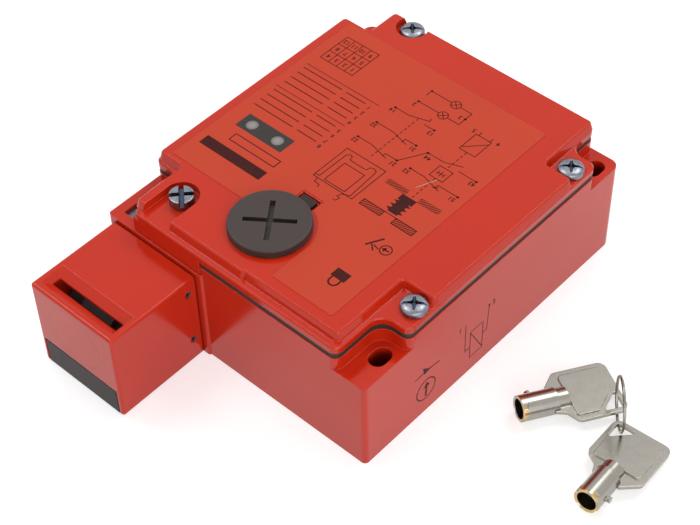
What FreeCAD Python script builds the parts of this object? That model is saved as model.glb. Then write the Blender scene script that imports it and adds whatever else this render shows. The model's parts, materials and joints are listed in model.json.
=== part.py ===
"""Tongue interlock switch with solenoid guard locking, on its back, with its two release keys.

Frame, in millimetres: +Z out of the cover, +Y towards the operating head, +X to the right when
the switch is looked at from the front with its head up. The origin lies on the back face, at the
centre of the rectangle of the four fixing holes.

Each function builds one sub-part. PIECES at the end names them, and every one is written to
parts/NAME.step.
"""
import FreeCAD, Part
import math
import os

V = FreeCAD.Vector

# ---------------------------------------------------------------- driving sizes: housing
BODY_W = 98.0               # housing width, X
BODY_L = 113.3              # housing length without the head, Y
HOLE_TO_SIDE = 4.75         # fixing holes to the sides
HOLE_TO_HEAD_END = 11.7     # front fixing holes to the head-end face
HOLE_TO_ENTRY_END = 6.6
HOLE_PITCH_X = BODY_W - 2 * HOLE_TO_SIDE                            # 88.5, centre to centre
HOLE_PITCH_Y = BODY_L - HOLE_TO_HEAD_END - HOLE_TO_ENTRY_END        # 95.0
HOLE_D = 5.3
HOLE_SLOT_L = 7.3           # end to end, along Y
RIM_Z = 37.0                # height of the open rim of the housing
PAD_Z = 32.5                # height of the corner pads round the fixing holes
NECK_Z = 34.0               # height of the neck that carries the head
NECK_W = 38.0               # neck width, flush with the +X side
NECK_STEP = 0.6             # neck proud of the head-end face
WALL = 3.4                  # housing wall
BACK = 3.0                  # housing back
CORNER_R = 2.6              # vertical corners of the housing
PAD_W = 9.8                 # corner pads, X
PAD_L_HEAD = 17.6           # pad at the head end, -X side, Y
PAD_L_ENTRY = 12.6          # pads at the cable-entry end, Y
NECK_PAD_W = 10.5           # pad beside the neck
NECK_PAD_L = 18.7
PAD_INNER_R = 4.5           # inner corner of a pad

# ---------------------------------------------------------------- driving sizes: cover
GASKET_T = 2.0
GASKET_W = 3.0
FLANGE_T = 2.3              # cover flange above the gasket
PLATEAU_H = 2.7             # raised panel above the flange
EDGE = 0.4                  # chamfer of the cover's top edges
DRAFT = 1.1                 # how far the foot of the raised panel stands outside its top
COVER_WALL = 2.5            # thickness of the raised panel
SKIRT_T = 2.0               # skirt of the cover in front of the neck
GAP = 0.2                   # clearance between parts that lie side by side
FIT = 0.05                  # radial running and location clearance

# ---------------------------------------------------------------- driving sizes: cover screws
SCREW_D = 4.0
SCREW_EDGE = 4.2            # two screws on the -X side, from that side
SCREW_X = SCREW_EDGE - BODY_W / 2
SCREW_PITCH_Y = HOLE_PITCH_Y - 26.2                                 # 68.8
ENTRY_SCREW_X = BODY_W / 2 - 19.9   # one screw at the cable-entry end
ENTRY_SCREW_EDGE = 3.1      # its distance from that end
CAPTIVE_X = BODY_W / 2 - 18.5       # captive screw beside the neck
CAPTIVE_EDGE = 11.9
PAN_D = 7.8
PAN_H = 2.5
CHEESE_D = 7.4
CHEESE_H = 3.2
SCREW_REACH = 9.0           # shank below the rim

# ---------------------------------------------------------------- driving sizes: head
HEAD_W = 33.0
HEAD_L = 31.9
HEAD_H = 32.7
HEAD_WALL = 2.8
HEAD_EDGE_R = 0.9
SPIGOT_Z = 18.05            # axis of the turning spigot and of the plunger
SPIGOT_D = 19.2
SPIGOT_L = 5.6
SLOT_W = 26.0               # tongue slots, X
SLOT_T = 2.9                # tongue slots, across the tongue
SLOT_IN_FROM_END = 6.35     # top slot's middle, from the end face of the head
LEAD_IN_W = 29.4            # bevelled lead-in round the top slot
LEAD_IN_T = 8.4
LEAD_IN_DEPTH = 2.0
PLUG_W = 30.0               # blanking plug in the end slot
PLUG_H = 9.9
PLUG_T = 1.3
PIN_D = 2.4                 # roll pins that hold the head on its spigot
PIN_PITCH = 18.9
PIN_FROM_FACE = 3.9

# ---------------------------------------------------------------- driving sizes: drum and plunger
DRUM_R = 9.0
DRUM_TOOTH_R = 11.5
DRUM_TOOTH_T = 3.0
DRUM_TEETH = (50.0, -2.0, -70.0)      # degrees from +Y towards +Z
DRUM_AXLE_D = 5.0
DRUM_TURN = 60.0            # degrees, tongue out to tongue fully in
PLUNGER_TRAVEL = 3.8
PLUNGER_D = 5.0
CAM_W = 8.0
CAM_R = 8.6                 # cam radius under the plunger with the tongue out
COLLAR_D = 11.0
COLLAR_T = 3.6

# ---------------------------------------------------------------- driving sizes: lock and solenoid
CAP_D = 24.0                # round cap over the key lock
CAP_T = 1.9
LOCK_FROM_NECK = 26.8       # key lock under the cap, from the neck's middle
LOCK_FROM_HEAD_END = 19.6
LOCK_FLANGE_D = CAP_D - 2.0
LOCK_D = LOCK_FLANGE_D - 3.2
LOCK_BARREL_D = 12.0
KEYWAY_D = 9.0              # annular keyway for the tubular key
KEYWAY_T = 1.0
KEYWAY_DEPTH = 7.0
LOCK_TURN = 90.0
BOLT_TRAVEL = 5.0
STRIP_T = 1.6
SOLENOID_W = 21.0
ARMATURE_D = 8.0
COIL_WALL = 1.6             # yoke plate

# ---------------------------------------------------------------- driving sizes: cable entries, keys
ENTRY_D = 18.4              # core diameter of the M20 cable entries
ENTRY_X = BODY_W / 2 - 27.0
ENTRY_Z = 16.5
ENTRY_BOSS = 4.2            # boss inside the wall
KEY_D = 7.8
KEY_BORE = 6.0
KEY_TUBE_L = 11.0
SHANK_D = 6.6
BOW_END = 30.3              # key's mouth to the far edge of its bow
BOW_W = 18.2
BOW_T = 1.2                 # web of the bow; the raised panels stand out of both faces
BOW_PANEL = 0.45
BOW_RIM = 1.3               # web left round the ring hole
RING_HOLE = 6.4             # legs of the three-cornered ring hole
RING_D = 16.5
RING_WIRE = 0.9
RING_AT = (-92.35, 1.45)    # where the ring stands, and which way it and the keys point
RING_HEADING = -48.0
RING_SEAT = 0.38            # how far out of its ring hole's inner side the wire passes
KEY_HEADINGS = (-118.6, -86.0)

# ---------------------------------------------------------------- places worked out from the sizes
HALF_W = BODY_W / 2
HEAD_END_Y = HOLE_PITCH_Y / 2 + HOLE_TO_HEAD_END
ENTRY_END_Y = HEAD_END_Y - BODY_L
FLANGE_Z = RIM_Z + GASKET_T
DECK_Z = FLANGE_Z + FLANGE_T
TOP_Z = DECK_Z + PLATEAU_H
HEAD_X = HALF_W - NECK_W / 2
LOCK_X = HEAD_X - LOCK_FROM_NECK
NECK_Y = HEAD_END_Y + NECK_STEP
HEAD_Y0 = NECK_Y + GAP
HEAD_Y1 = HEAD_Y0 + HEAD_L
SCREW_Y = SCREW_PITCH_Y / 2
ENTRY_SCREW_Y = ENTRY_END_Y + ENTRY_SCREW_EDGE
CAPTIVE_Y = HEAD_END_Y - CAPTIVE_EDGE
SCREWS = [(SCREW_X, SCREW_Y), (SCREW_X, -SCREW_Y), (ENTRY_SCREW_X, ENTRY_SCREW_Y)]
LOCK_Y = HEAD_END_Y - LOCK_FROM_HEAD_END
TOP_SLOT_Y = HEAD_Y1 - SLOT_IN_FROM_END
SPIGOT_END_Y = NECK_Y + SPIGOT_L
DRUM_Z = HEAD_H / 2
DRUM_Y = TOP_SLOT_Y - SLOT_T / 2 - DRUM_R - GAP / 2
END_SLOT_Z = DRUM_Z - (TOP_SLOT_Y - DRUM_Y)
HEAD_ROOM_Y0 = DRUM_Y - DRUM_R - 0.5
NECK_BLOCK_Y = CAPTIVE_Y - SCREW_D
NOSE_R = PLUNGER_D / 2
CHASSIS_Z = BACK + 1.6
CHASSIS_T = 1.6
FLOOR_Z = CHASSIS_Z + CHASSIS_T
POST_R = 4.0                # posts under the chassis plate
POST_ROOM = POST_R + 1.1
LED_D = 5.0
LED_FROM_SIDE = (23.7, 13.5)
LED_FROM_HEAD_END = 45.7
TAB_W = 6.8                 # notch for the tab of the cap's leash, and how far it stands out
TAB_REACH = CAP_D / 2 + 4.1


# ---------------------------------------------------------------- modelling helpers
def box(x0, x1, y0, y1, z0, z1):
    return Part.makeBox(x1 - x0, y1 - y0, z1 - z0, V(x0, y0, z0))


def rod(r, start, direction, length):
    return Part.makeCylinder(r, length, V(*start), V(*direction))


def disc(x, y, r, z0, z1):
    return Part.makeCylinder(r, z1 - z0, V(x, y, z0))


def tube(x, y, r_out, r_in, z0, z1):
    return disc(x, y, r_out, z0, z1).cut(disc(x, y, r_in, z0 - 1, z1 + 1))


def rounded_wire(corners, z):
    """Closed wire through corners (x, y, radius), each turned into a tangent arc of its radius."""
    count = len(corners)
    arcs = []
    for i, (x, y, r) in enumerate(corners):
        here = V(x, y, z)
        before = V(corners[i - 1][0], corners[i - 1][1], z)
        after = V(corners[(i + 1) % count][0], corners[(i + 1) % count][1], z)
        u = (before - here).normalize()
        v = (after - here).normalize()
        half = u.getAngle(v) / 2
        reach = r / math.tan(half)
        middle = here + (u + v).normalize() * (r / math.sin(half) - r)
        arcs.append((here + u * reach, middle, here + v * reach))
    edges = []
    for i, (start, middle, end) in enumerate(arcs):
        edges.append(Part.Arc(start, middle, end).toShape())
        edges.append(Part.LineSegment(end, arcs[(i + 1) % count][0]).toShape())
    return Part.Wire(edges)


def prism(corners, z0, z1):
    return Part.Face(rounded_wire(corners, z0)).extrude(V(0, 0, z1 - z0))


def tapered(sections):
    """Solid through (corners, z) sections that all have the same number of corners."""
    return Part.makeLoft([rounded_wire(corners, z) for corners, z in sections], True, True)


def grown(corners, out):
    """Right-angled outline (anticlockwise) moved outwards by out, its arcs kept concentric."""
    count = len(corners)
    moved = []
    for i, (x, y, r) in enumerate(corners):
        x0, y0, _ = corners[i - 1]
        x1, y1, _ = corners[(i + 1) % count]
        came = V(x - x0, y - y0, 0).normalize()
        goes = V(x1 - x, y1 - y, 0).normalize()
        turn = came.cross(goes).z
        shift_x = (came.y + goes.y) * out
        shift_y = -(came.x + goes.x) * out
        moved.append((x + shift_x, y + shift_y, max(r + turn * out, 0.2)))
    return moved


def rounded_box(x0, x1, y0, y1, z0, z1, r):
    return prism([(x0, y0, r), (x1, y0, r), (x1, y1, r), (x0, y1, r)], z0, z1)


def obround(x, y, width, length, z0, z1):
    """Slot along Y, length end to end."""
    reach = (length - width) / 2
    return box(x - width / 2, x + width / 2, y - reach, y + reach, z0, z1).fuse(
        [disc(x, y - reach, width / 2, z0, z1), disc(x, y + reach, width / 2, z0, z1)])


def joined(shapes):
    return shapes[0].fuse(shapes[1:]).removeSplitter() if len(shapes) > 1 else shapes[0]


def helix(start, direction, pitch, height, r, wire_r):
    """Spring about direction from start: its wire is eight-sided, in straight pieces."""
    count = round(height / pitch * 14)
    lean = math.atan2(pitch, 2 * math.pi * r)
    sections = []
    for i in range(count + 1):
        turn = 2 * math.pi * height / pitch * i / count
        middle = V(r * math.cos(turn), r * math.sin(turn), height * i / count)
        out = V(math.cos(turn), math.sin(turn), 0) * wire_r
        across = V(math.sin(turn) * math.sin(lean), -math.cos(turn) * math.sin(lean),
                   math.cos(lean)) * wire_r
        ring = [middle + out * math.cos(math.radians(45 * k)) + across * math.sin(math.radians(45 * k))
                for k in range(8)]
        sections.append(Part.makePolygon(ring + ring[:1]))
    coil = Part.makeLoft(sections, True, True)
    coil.Placement = FreeCAD.Placement(V(*start), FreeCAD.Rotation(V(0, 0, 1), V(*direction)))
    return coil


# ---------------------------------------------------------------- outlines
def body_outline(out=0.0):
    """Plan of the housing rim and cover flange: a rectangle with a pad cut out of each corner."""
    w, y0, y1 = HALF_W, ENTRY_END_Y, HEAD_END_Y
    r, q = CORNER_R, PAD_INNER_R
    corners = [
        (-w + PAD_W, y0, r), (w - PAD_W, y0, r),
        (w - PAD_W, y0 + PAD_L_ENTRY, q), (w, y0 + PAD_L_ENTRY, r),
        (w, y1 - NECK_PAD_L, r), (w - NECK_PAD_W, y1 - NECK_PAD_L, q),
        (w - NECK_PAD_W, y1, r), (-w + PAD_W, y1, r),
        (-w + PAD_W, y1 - PAD_L_HEAD, q), (-w, y1 - PAD_L_HEAD, r),
        (-w, y0 + PAD_L_ENTRY, r), (-w + PAD_W, y0 + PAD_L_ENTRY, q)]
    return grown(corners, out)


def panel_outline(out=0.0):
    """Plan of the raised panel. Its corner steps leave room for the pads and two of the screws."""
    side = HALF_W - DRAFT - 0.1
    r, q = 1.0, 1.6
    head_y = HEAD_END_Y - 2.8
    jog_x, jog = LOCK_X - 5.8, 0.6
    screw_room = PAN_D / 2 + 0.9
    corners = [
        (-HALF_W + PAD_W + 1.0, ENTRY_END_Y + 1.5, r), (HALF_W - PAD_W - 1.7, ENTRY_END_Y + 1.5, r),
        (HALF_W - PAD_W - 1.7, ENTRY_END_Y + PAD_L_ENTRY + 0.9, q),
        (side, ENTRY_END_Y + PAD_L_ENTRY + 0.9, r),
        (side, HEAD_END_Y - NECK_PAD_L - 2.0, r),
        (HALF_W - NECK_PAD_W, HEAD_END_Y - NECK_PAD_L - 2.0, q),
        (HALF_W - NECK_PAD_W, head_y, r),
        (jog_x, head_y, 0.25), (jog_x, head_y - jog, 0.25),
        (-HALF_W + PAD_W + 2.4, head_y - jog, r),
        (-HALF_W + PAD_W + 2.4, SCREW_Y - screw_room, q), (-side, SCREW_Y - screw_room, r),
        (-side, -SCREW_Y + screw_room, r),
        (-HALF_W + PAD_W + 1.0, -SCREW_Y + screw_room, q)]
    return grown(corners, out)


# ---------------------------------------------------------------- housing and cover
def entry_axes():
    return [(-ENTRY_X, ENTRY_Z), (ENTRY_X, ENTRY_Z)]


def fixing_holes():
    return [(sx * HOLE_PITCH_X / 2, sy * HOLE_PITCH_Y / 2) for sx in (-1, 1) for sy in (-1, 1)]


def chassis_posts():
    entry_y = ENTRY_END_Y + PAD_L_ENTRY + WALL + POST_ROOM
    return [(-HALF_W + 13.0, entry_y), (HALF_W - 8.5, entry_y),
            (-HALF_W + 17.0, LOCK_BLOCK_Y - 15.5),
            (HEAD_X - 18.0, HEAD_END_Y - NECK_PAD_L - POST_ROOM)]


def housing():
    w, y0, y1 = HALF_W, ENTRY_END_Y, HEAD_END_Y
    block = prism([(-w, y0, CORNER_R + 0.4), (w, y0, CORNER_R + 0.4), (w, y1, 1.0), (-w, y1, 1.5)],
                  0, PAD_Z)
    neck_corner = rounded_box(w - NECK_PAD_W - WALL, w, y1 - NECK_PAD_L - WALL, NECK_Y, 0, NECK_Z,
                              1.0)
    neck = rounded_box(w - NECK_W, w, y1 - WALL, NECK_Y, 0, NECK_Z, 1.0)
    rim = prism(body_outline(), PAD_Z, RIM_Z)
    skirt_seat = box(w - NECK_W + 0.8, w, y1 - SKIRT_T - GAP, NECK_Y + 1, NECK_Z, RIM_Z + 1)
    shell = joined([block, neck, neck_corner, rim]).cut(skirt_seat)
    room = prism(body_outline(-WALL), BACK, RIM_Z + 1)
    room = room.cut(box(HEAD_X - 11.0, w, NECK_BLOCK_Y, y1, 0, RIM_Z + 2))
    bosses = [disc(x, y, SCREW_D, RIM_Z - SCREW_REACH - 3, RIM_Z) for x, y in SCREWS]
    bosses += [disc(x, y, POST_R, BACK - 0.5, CHASSIS_Z) for x, y in chassis_posts()]
    bosses += [rod(ENTRY_D / 2 + 3.4, (x, y0 + 0.5, z), (0, 1, 0), WALL + ENTRY_BOSS - 0.5)
               for x, z in entry_axes()]
    outside = prism(body_outline(), 0, RIM_Z)
    shell = joined([shell.cut(room)] + [boss.common(outside) for boss in bosses])
    spigot = rod(SPIGOT_D / 2, (HEAD_X, NECK_Y - 1, SPIGOT_Z), (0, 1, 0), SPIGOT_L + 1)
    groove_y = HEAD_END_Y + PIN_FROM_FACE
    groove = rod(SPIGOT_D, (HEAD_X, groove_y - PIN_D / 2 - 0.1, SPIGOT_Z), (0, 1, 0), PIN_D + 0.2)
    groove = groove.cut(rod(PIN_PITCH / 2 - PIN_D / 2 - FIT, (HEAD_X, groove_y - 5, SPIGOT_Z),
                            (0, 1, 0), 10))
    shell = shell.fuse(spigot.cut(groove)).removeSplitter()
    holes = [obround(x, y, HOLE_D, HOLE_SLOT_L, -1, RIM_Z + 1) for x, y in fixing_holes()]
    holes += [disc(x, y, SCREW_D / 2 + FIT, RIM_Z - SCREW_REACH - 1, RIM_Z + 1)
              for x, y in SCREWS + [(CAPTIVE_X, CAPTIVE_Y)]]
    holes += [disc(x, y, 1.5 + FIT, BACK - 1, CHASSIS_Z + 1) for x, y in chassis_posts()]
    holes += [rod(ENTRY_D / 2, (x, y0 - 1, z), (0, 1, 0), WALL + ENTRY_BOSS + 2)
              for x, z in entry_axes()]
    holes.append(rod(PLUNGER_D / 2 + 1.5 + FIT, (HEAD_X, NECK_BLOCK_Y - 1, SPIGOT_Z), (0, 1, 0),
                     SPIGOT_END_Y - NECK_BLOCK_Y + 2))
    holes.append(lock_plate_pocket(0.0))
    return shell.cut(holes)


def lock_plate_pocket(shrink):
    """Pocket in the neck's top, over the plate that stops the head from turning."""
    x1 = HALF_W - 3.2
    return box(x1 - 8.5 + shrink, x1 - shrink, NECK_Y - 10.0 + shrink, NECK_Y - 3.2 - shrink,
               NECK_Z - 3.0, NECK_Z + 4)


def head_lock_plate():
    plate = lock_plate_pocket(GAP)
    return plate.common(box(0, HALF_W, 0, HEAD_END_Y + 5, NECK_Z - 3.0, NECK_Z - 1.4))


def cover_gasket():
    ring = prism(body_outline(-0.3), RIM_Z, FLANGE_Z)
    ring = ring.cut(prism(body_outline(-0.3 - GASKET_W), RIM_Z - 1, FLANGE_Z + 1))
    behind = HEAD_END_Y - SKIRT_T - 2 * GAP
    x0 = HALF_W - NECK_W
    ring = ring.cut(box(x0 + 0.6, HALF_W, behind, NECK_Y, RIM_Z - 1, FLANGE_Z + 1))
    bridge = box(x0 - 2.0, HALF_W - NECK_PAD_W - 0.3, behind - GASKET_W, behind, RIM_Z, FLANGE_Z)
    ring = ring.fuse(bridge).removeSplitter()
    return ring.cut([disc(x, y, SCREW_D / 2 + GAP, RIM_Z - 1, FLANGE_Z + 1)
                     for x, y in SCREWS + [(CAPTIVE_X, CAPTIVE_Y)]])


def leds():
    return [(HALF_W - inset, HEAD_END_Y - LED_FROM_HEAD_END) for inset in LED_FROM_SIDE]


def cap_tab_notch(shrink, z0):
    """Notch in the raised panel that takes the tab of the cap's leash."""
    middle = LOCK_X - 1.2
    return box(middle - TAB_W / 2 + shrink, middle + TAB_W / 2 - shrink,
               LOCK_Y - TAB_REACH + shrink, LOCK_Y, z0, TOP_Z + 1)


def cover():
    flange = tapered([(body_outline(), FLANGE_Z), (body_outline(), DECK_Z - EDGE),
                      (body_outline(-EDGE), DECK_Z)])
    panel = tapered([(panel_outline(DRAFT), DECK_Z), (panel_outline(EDGE), TOP_Z - EDGE),
                     (panel_outline(), TOP_Z)])
    skirt = box(HALF_W - NECK_W + 1.2, HALF_W - NECK_PAD_W, HEAD_END_Y - SKIRT_T, HEAD_END_Y,
                NECK_Z + GAP, FLANGE_Z)
    shape = joined([flange, panel, skirt])
    under = prism(panel_outline(-GASKET_W - 2.5), FLANGE_Z - 1, TOP_Z - COVER_WALL)
    under = under.cut([disc(LOCK_X, LOCK_Y, LOCK_D / 2 + 5.0, 0, TOP_Z),
                       box(CAPTIVE_X - 9, HALF_W, CAPTIVE_Y - 8.5, HEAD_END_Y, 0, TOP_Z),
                       disc(ENTRY_SCREW_X, ENTRY_SCREW_Y, 9.0, 0, TOP_Z)])
    lock_boss = disc(LOCK_X, LOCK_Y, LOCK_D / 2 + 5.0, FLANGE_Z - 1.0, TOP_Z - COVER_WALL)
    shape = shape.cut(under).fuse(lock_boss)
    recess_r = CHEESE_D / 2 + 1.65
    captive_recess = disc(CAPTIVE_X, CAPTIVE_Y, recess_r, DECK_Z, TOP_Z + 1).fuse(
        box(CAPTIVE_X - recess_r, CAPTIVE_X + recess_r, CAPTIVE_Y, HEAD_END_Y + 1,
            DECK_Z, TOP_Z + 1))
    entry_recess = disc(ENTRY_SCREW_X, ENTRY_SCREW_Y, PAN_D / 2 + 1.3, DECK_Z, TOP_Z + 1)
    cuts = [captive_recess, entry_recess,
            disc(LOCK_X, LOCK_Y, LOCK_D / 2 + GAP, 0, TOP_Z + 1),
            disc(LOCK_X, LOCK_Y, LOCK_FLANGE_D / 2 + GAP, TOP_Z - 1.8, TOP_Z + 1),
            cap_tab_notch(0.0, TOP_Z - 1.4)]
    cuts += [disc(x, y, SCREW_D / 2 + GAP, 0, TOP_Z) for x, y in SCREWS + [(CAPTIVE_X, CAPTIVE_Y)]]
    cuts += [disc(x, y, PAN_D / 2 + 0.5, DECK_Z, TOP_Z) for x, y in SCREWS]
    cuts += [disc(x, y, LED_D / 2 + FIT, 0, TOP_Z + 1) for x, y in leds()]
    return shape.cut(cuts)


def label_sheet():
    """Printed film on the raised panel, cut out round the cap and its leash."""
    x0, x1 = -HALF_W + 17.2, HALF_W - 4.2
    y0, y1 = ENTRY_END_Y + 14.4, LOCK_Y - 2.6
    step_x, step_y = LOCK_X - CAP_D / 2 - 1.1, HEAD_END_Y - 6.5
    sheet = prism([(x0, y0, 0.8), (x1, y0, 0.8), (x1, y1, 0.8), (step_x, y1, 0.3),
                   (step_x, step_y, 0.8), (x0, step_y, 0.8)], TOP_Z, TOP_Z + 0.15)
    notch = cap_tab_notch(-0.5, TOP_Z - 1)
    cap_room = disc(LOCK_X, LOCK_Y, CAP_D / 2 + 1.2, TOP_Z - 1, TOP_Z + 1)
    return sheet.cut([cap_room, notch] + [disc(x, y, LED_D / 2 + 0.1, TOP_Z - 1, TOP_Z + 1)
                                            for x, y in leds()])


def led_lenses():
    pips = []
    for x, y in leds():
        pips.append(disc(x, y, LED_D / 2, TOP_Z - COVER_WALL - 1.2, TOP_Z + 0.1).fuse(
            disc(x, y, LED_D / 2 + 0.7, TOP_Z - COVER_WALL - 1.2, TOP_Z - COVER_WALL)))
    return Part.makeCompound(pips)


def led_board():
    (x0, y), (x1, y) = leds()
    z = TOP_Z - COVER_WALL - 1.2
    return box(x0 - LED_D - 2, x1 + LED_D, y - 9, y + 9, z - 1.6, z)


def pozi_cross(x, y, z, reach, width, depth):
    return joined([box(x - reach, x + reach, y - width / 2, y + width / 2, z - depth, z + 1),
                   box(x - width / 2, x + width / 2, y - reach, y + reach, z - depth, z + 1)])


def screw(x, y, seat_z, head_d, head_h, edge_r, shank_l, shank_d):
    head = disc(x, y, head_d / 2, seat_z, seat_z + head_h)
    rim = [e for e in head.Edges if e.BoundBox.ZLength < 1e-6 and e.BoundBox.ZMin > seat_z + 0.1]
    return head.makeFillet(edge_r, rim).fuse(disc(x, y, shank_d / 2, seat_z - shank_l, seat_z))


def cover_screws():
    """Pan-head screws with a slot and a cross recess."""
    made = []
    for x, y in SCREWS:
        pan = screw(x, y, DECK_Z, PAN_D, PAN_H, 1.6, DECK_Z - RIM_Z + SCREW_REACH, SCREW_D)
        top = DECK_Z + PAN_H
        cross = pozi_cross(x, y, top, 2.2, 1.0, 1.4)
        slot = box(x - PAN_D, x + PAN_D, y - 0.45, y + 0.45, top - 0.7, top + 1)
        made.append(pan.cut([cross, slot]))
    return Part.makeCompound(made)


def captive_screw():
    """Tall cheese head with cross slots right across it."""
    head = screw(CAPTIVE_X, CAPTIVE_Y, DECK_Z, CHEESE_D, CHEESE_H, 0.3,
                 DECK_Z - RIM_Z + SCREW_REACH, SCREW_D)
    return head.cut(pozi_cross(CAPTIVE_X, CAPTIVE_Y, DECK_Z + CHEESE_H, CHEESE_D, 1.2, 1.8))


# ---------------------------------------------------------------- operating head
def head_pins():
    y = HEAD_END_Y + PIN_FROM_FACE
    return [(y, SPIGOT_Z - PIN_PITCH / 2), (y, SPIGOT_Z + PIN_PITCH / 2)]


def head_housing():
    x0, x1 = HEAD_X - HEAD_W / 2, HEAD_X + HEAD_W / 2
    block = box(x0, x1, HEAD_Y0, HEAD_Y1, 0, HEAD_H)
    outer = [e for e in block.Edges if not abs(e.BoundBox.YMax - HEAD_Y0) < 1e-6]
    block = block.makeFillet(HEAD_EDGE_R, outer)
    room = box(x0 + HEAD_WALL, x1 - HEAD_WALL, HEAD_ROOM_Y0, HEAD_Y1 - 3.0, HEAD_WALL,
               HEAD_H - HEAD_WALL)
    half_w, half_t = LEAD_IN_W / 2, LEAD_IN_T / 2
    slot_w, slot_t = SLOT_W / 2, SLOT_T / 2
    top_slot = box(HEAD_X - slot_w, HEAD_X + slot_w, TOP_SLOT_Y - slot_t, TOP_SLOT_Y + slot_t,
                   HEAD_H - HEAD_WALL - 1, HEAD_H)
    lead_in = tapered([
        (rectangle(HEAD_X, TOP_SLOT_Y, slot_w, slot_t, 0.3), HEAD_H - LEAD_IN_DEPTH),
        (rectangle(HEAD_X, TOP_SLOT_Y, half_w, half_t, 0.3), HEAD_H)])
    end_slot = box(HEAD_X - slot_w, HEAD_X + slot_w, HEAD_Y1 - 4, HEAD_Y1 + 1,
                   END_SLOT_Z - slot_t, END_SLOT_Z + slot_t)
    plug_seat = box(HEAD_X - PLUG_W / 2 - GAP, HEAD_X + PLUG_W / 2 + GAP, HEAD_Y1 - PLUG_T,
                    HEAD_Y1 + 1, -1, PLUG_H + 2 * GAP)
    spigot_bore = rod(SPIGOT_D / 2 + FIT, (HEAD_X, HEAD_Y0 - 1, SPIGOT_Z), (0, 1, 0),
                      HEAD_ROOM_Y0 - HEAD_Y0 + 2)
    seal_seat = rod(SPIGOT_D / 2 + 2.0, (HEAD_X, HEAD_Y0 - 1, SPIGOT_Z), (0, 1, 0), 2.6)
    axle_hole = rod(DRUM_AXLE_D / 2 + FIT, (x0 + HEAD_WALL / 2, DRUM_Y, DRUM_Z), (1, 0, 0), HEAD_W)
    pin_holes = [rod(PIN_D / 2 + FIT, (x0 - 1, y, z), (1, 0, 0), HEAD_W - 3) for y, z in head_pins()]
    return block.cut([room, top_slot, lead_in, end_slot, plug_seat, spigot_bore, seal_seat,
                      axle_hole] + pin_holes)


def rectangle(x, y, half_x, half_y, r):
    return [(x - half_x, y - half_y, r), (x + half_x, y - half_y, r),
            (x + half_x, y + half_y, r), (x - half_x, y + half_y, r)]


def head_seal():
    """O-ring round the foot of the spigot."""
    wire_r = 0.8
    return Part.makeTorus(SPIGOT_D / 2 + FIT + wire_r, wire_r,
                          V(HEAD_X, NECK_Y + wire_r + FIT, SPIGOT_Z), V(0, 1, 0))


def head_roll_pins():
    x0 = HEAD_X - HEAD_W / 2 + GAP
    length = HEAD_W - 5
    pins = []
    for y, z in head_pins():
        wall = rod(PIN_D / 2, (x0, y, z), (1, 0, 0), length)
        wall = wall.cut(rod(PIN_D / 2 - 0.6, (x0 - 1, y, z), (1, 0, 0), length + 2))
        pins.append(wall.cut(box(x0 - 1, x0 + length + 1, y, y + PIN_D, z - 0.2, z + 0.2)))
    return Part.makeCompound(pins)


def drum_axle():
    x0 = HEAD_X - HEAD_W / 2 + HEAD_WALL / 2 + GAP
    return rod(DRUM_AXLE_D / 2, (x0, DRUM_Y, DRUM_Z), (1, 0, 0), HEAD_W - HEAD_WALL / 2 - 2 * GAP)


def slot_plug():
    """Blanking plug: a plate over the end slot with a stub that fills it."""
    y0 = HEAD_Y1 - PLUG_T
    plate = box(HEAD_X - PLUG_W / 2, HEAD_X + PLUG_W / 2, y0, HEAD_Y1, GAP, GAP + PLUG_H)
    face = [e for e in plate.Edges if e.BoundBox.YMin > HEAD_Y1 - 1e-6]
    plate = plate.makeChamfer(0.35, face)
    stub = box(HEAD_X - SLOT_W / 2 + GAP, HEAD_X + SLOT_W / 2 - GAP, y0 - 2.4, y0,
               END_SLOT_Z - SLOT_T / 2 + GAP, END_SLOT_Z + SLOT_T / 2 - GAP)
    return plate.fuse(stub)


def nose_start():
    """Y of the plunger nose's centre with the tongue out, its nose FIT + 0.1 off the cam."""
    reach = CAM_R + NOSE_R + FIT + 0.1
    return DRUM_Y - math.sqrt(reach ** 2 - (SPIGOT_Z - DRUM_Z) ** 2)


def cam_relief():
    """Material cleared from the cam for the plunger's nose, in the plane X = 0.

    The nose moves in proportion to the turn of the drum. Seen from the drum its centre draws a
    spiral, and the cam is that spiral moved inwards by the nose's radius and a clearance.
    """
    steps = 16
    turn = math.radians(DRUM_TURN)
    clearance = NOSE_R + FIT + 0.1

    def centre(share):
        angle = turn * share
        y = nose_start() + PLUNGER_TRAVEL * share - DRUM_Y
        z = SPIGOT_Z - DRUM_Z
        return V(0, y * math.cos(angle) - z * math.sin(angle),
                 y * math.sin(angle) + z * math.cos(angle))

    def foot(share):
        along = (centre(share + 0.001) - centre(share - 0.001)).normalize()
        inward = V(0, along.z, -along.y)
        if inward.dot(centre(share)) > 0:
            inward = inward * -1
        return centre(share) + inward * clearance

    curve = Part.BSplineCurve()
    curve.interpolate([foot(i / steps) for i in range(steps + 1)])
    start, end = foot(0), foot(1)
    onward = (end - foot(0.999)).normalize()
    outward = (centre(1) - end).normalize()
    past = end + onward * (clearance * 1.1)
    outside = [past, past + outward * DRUM_R * 2, start * 2, start]
    sides = [Part.LineSegment(a, b).toShape() for a, b in zip([end] + outside, outside)]
    return Part.Face(Part.Wire([curve.toShape()] + sides))


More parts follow.
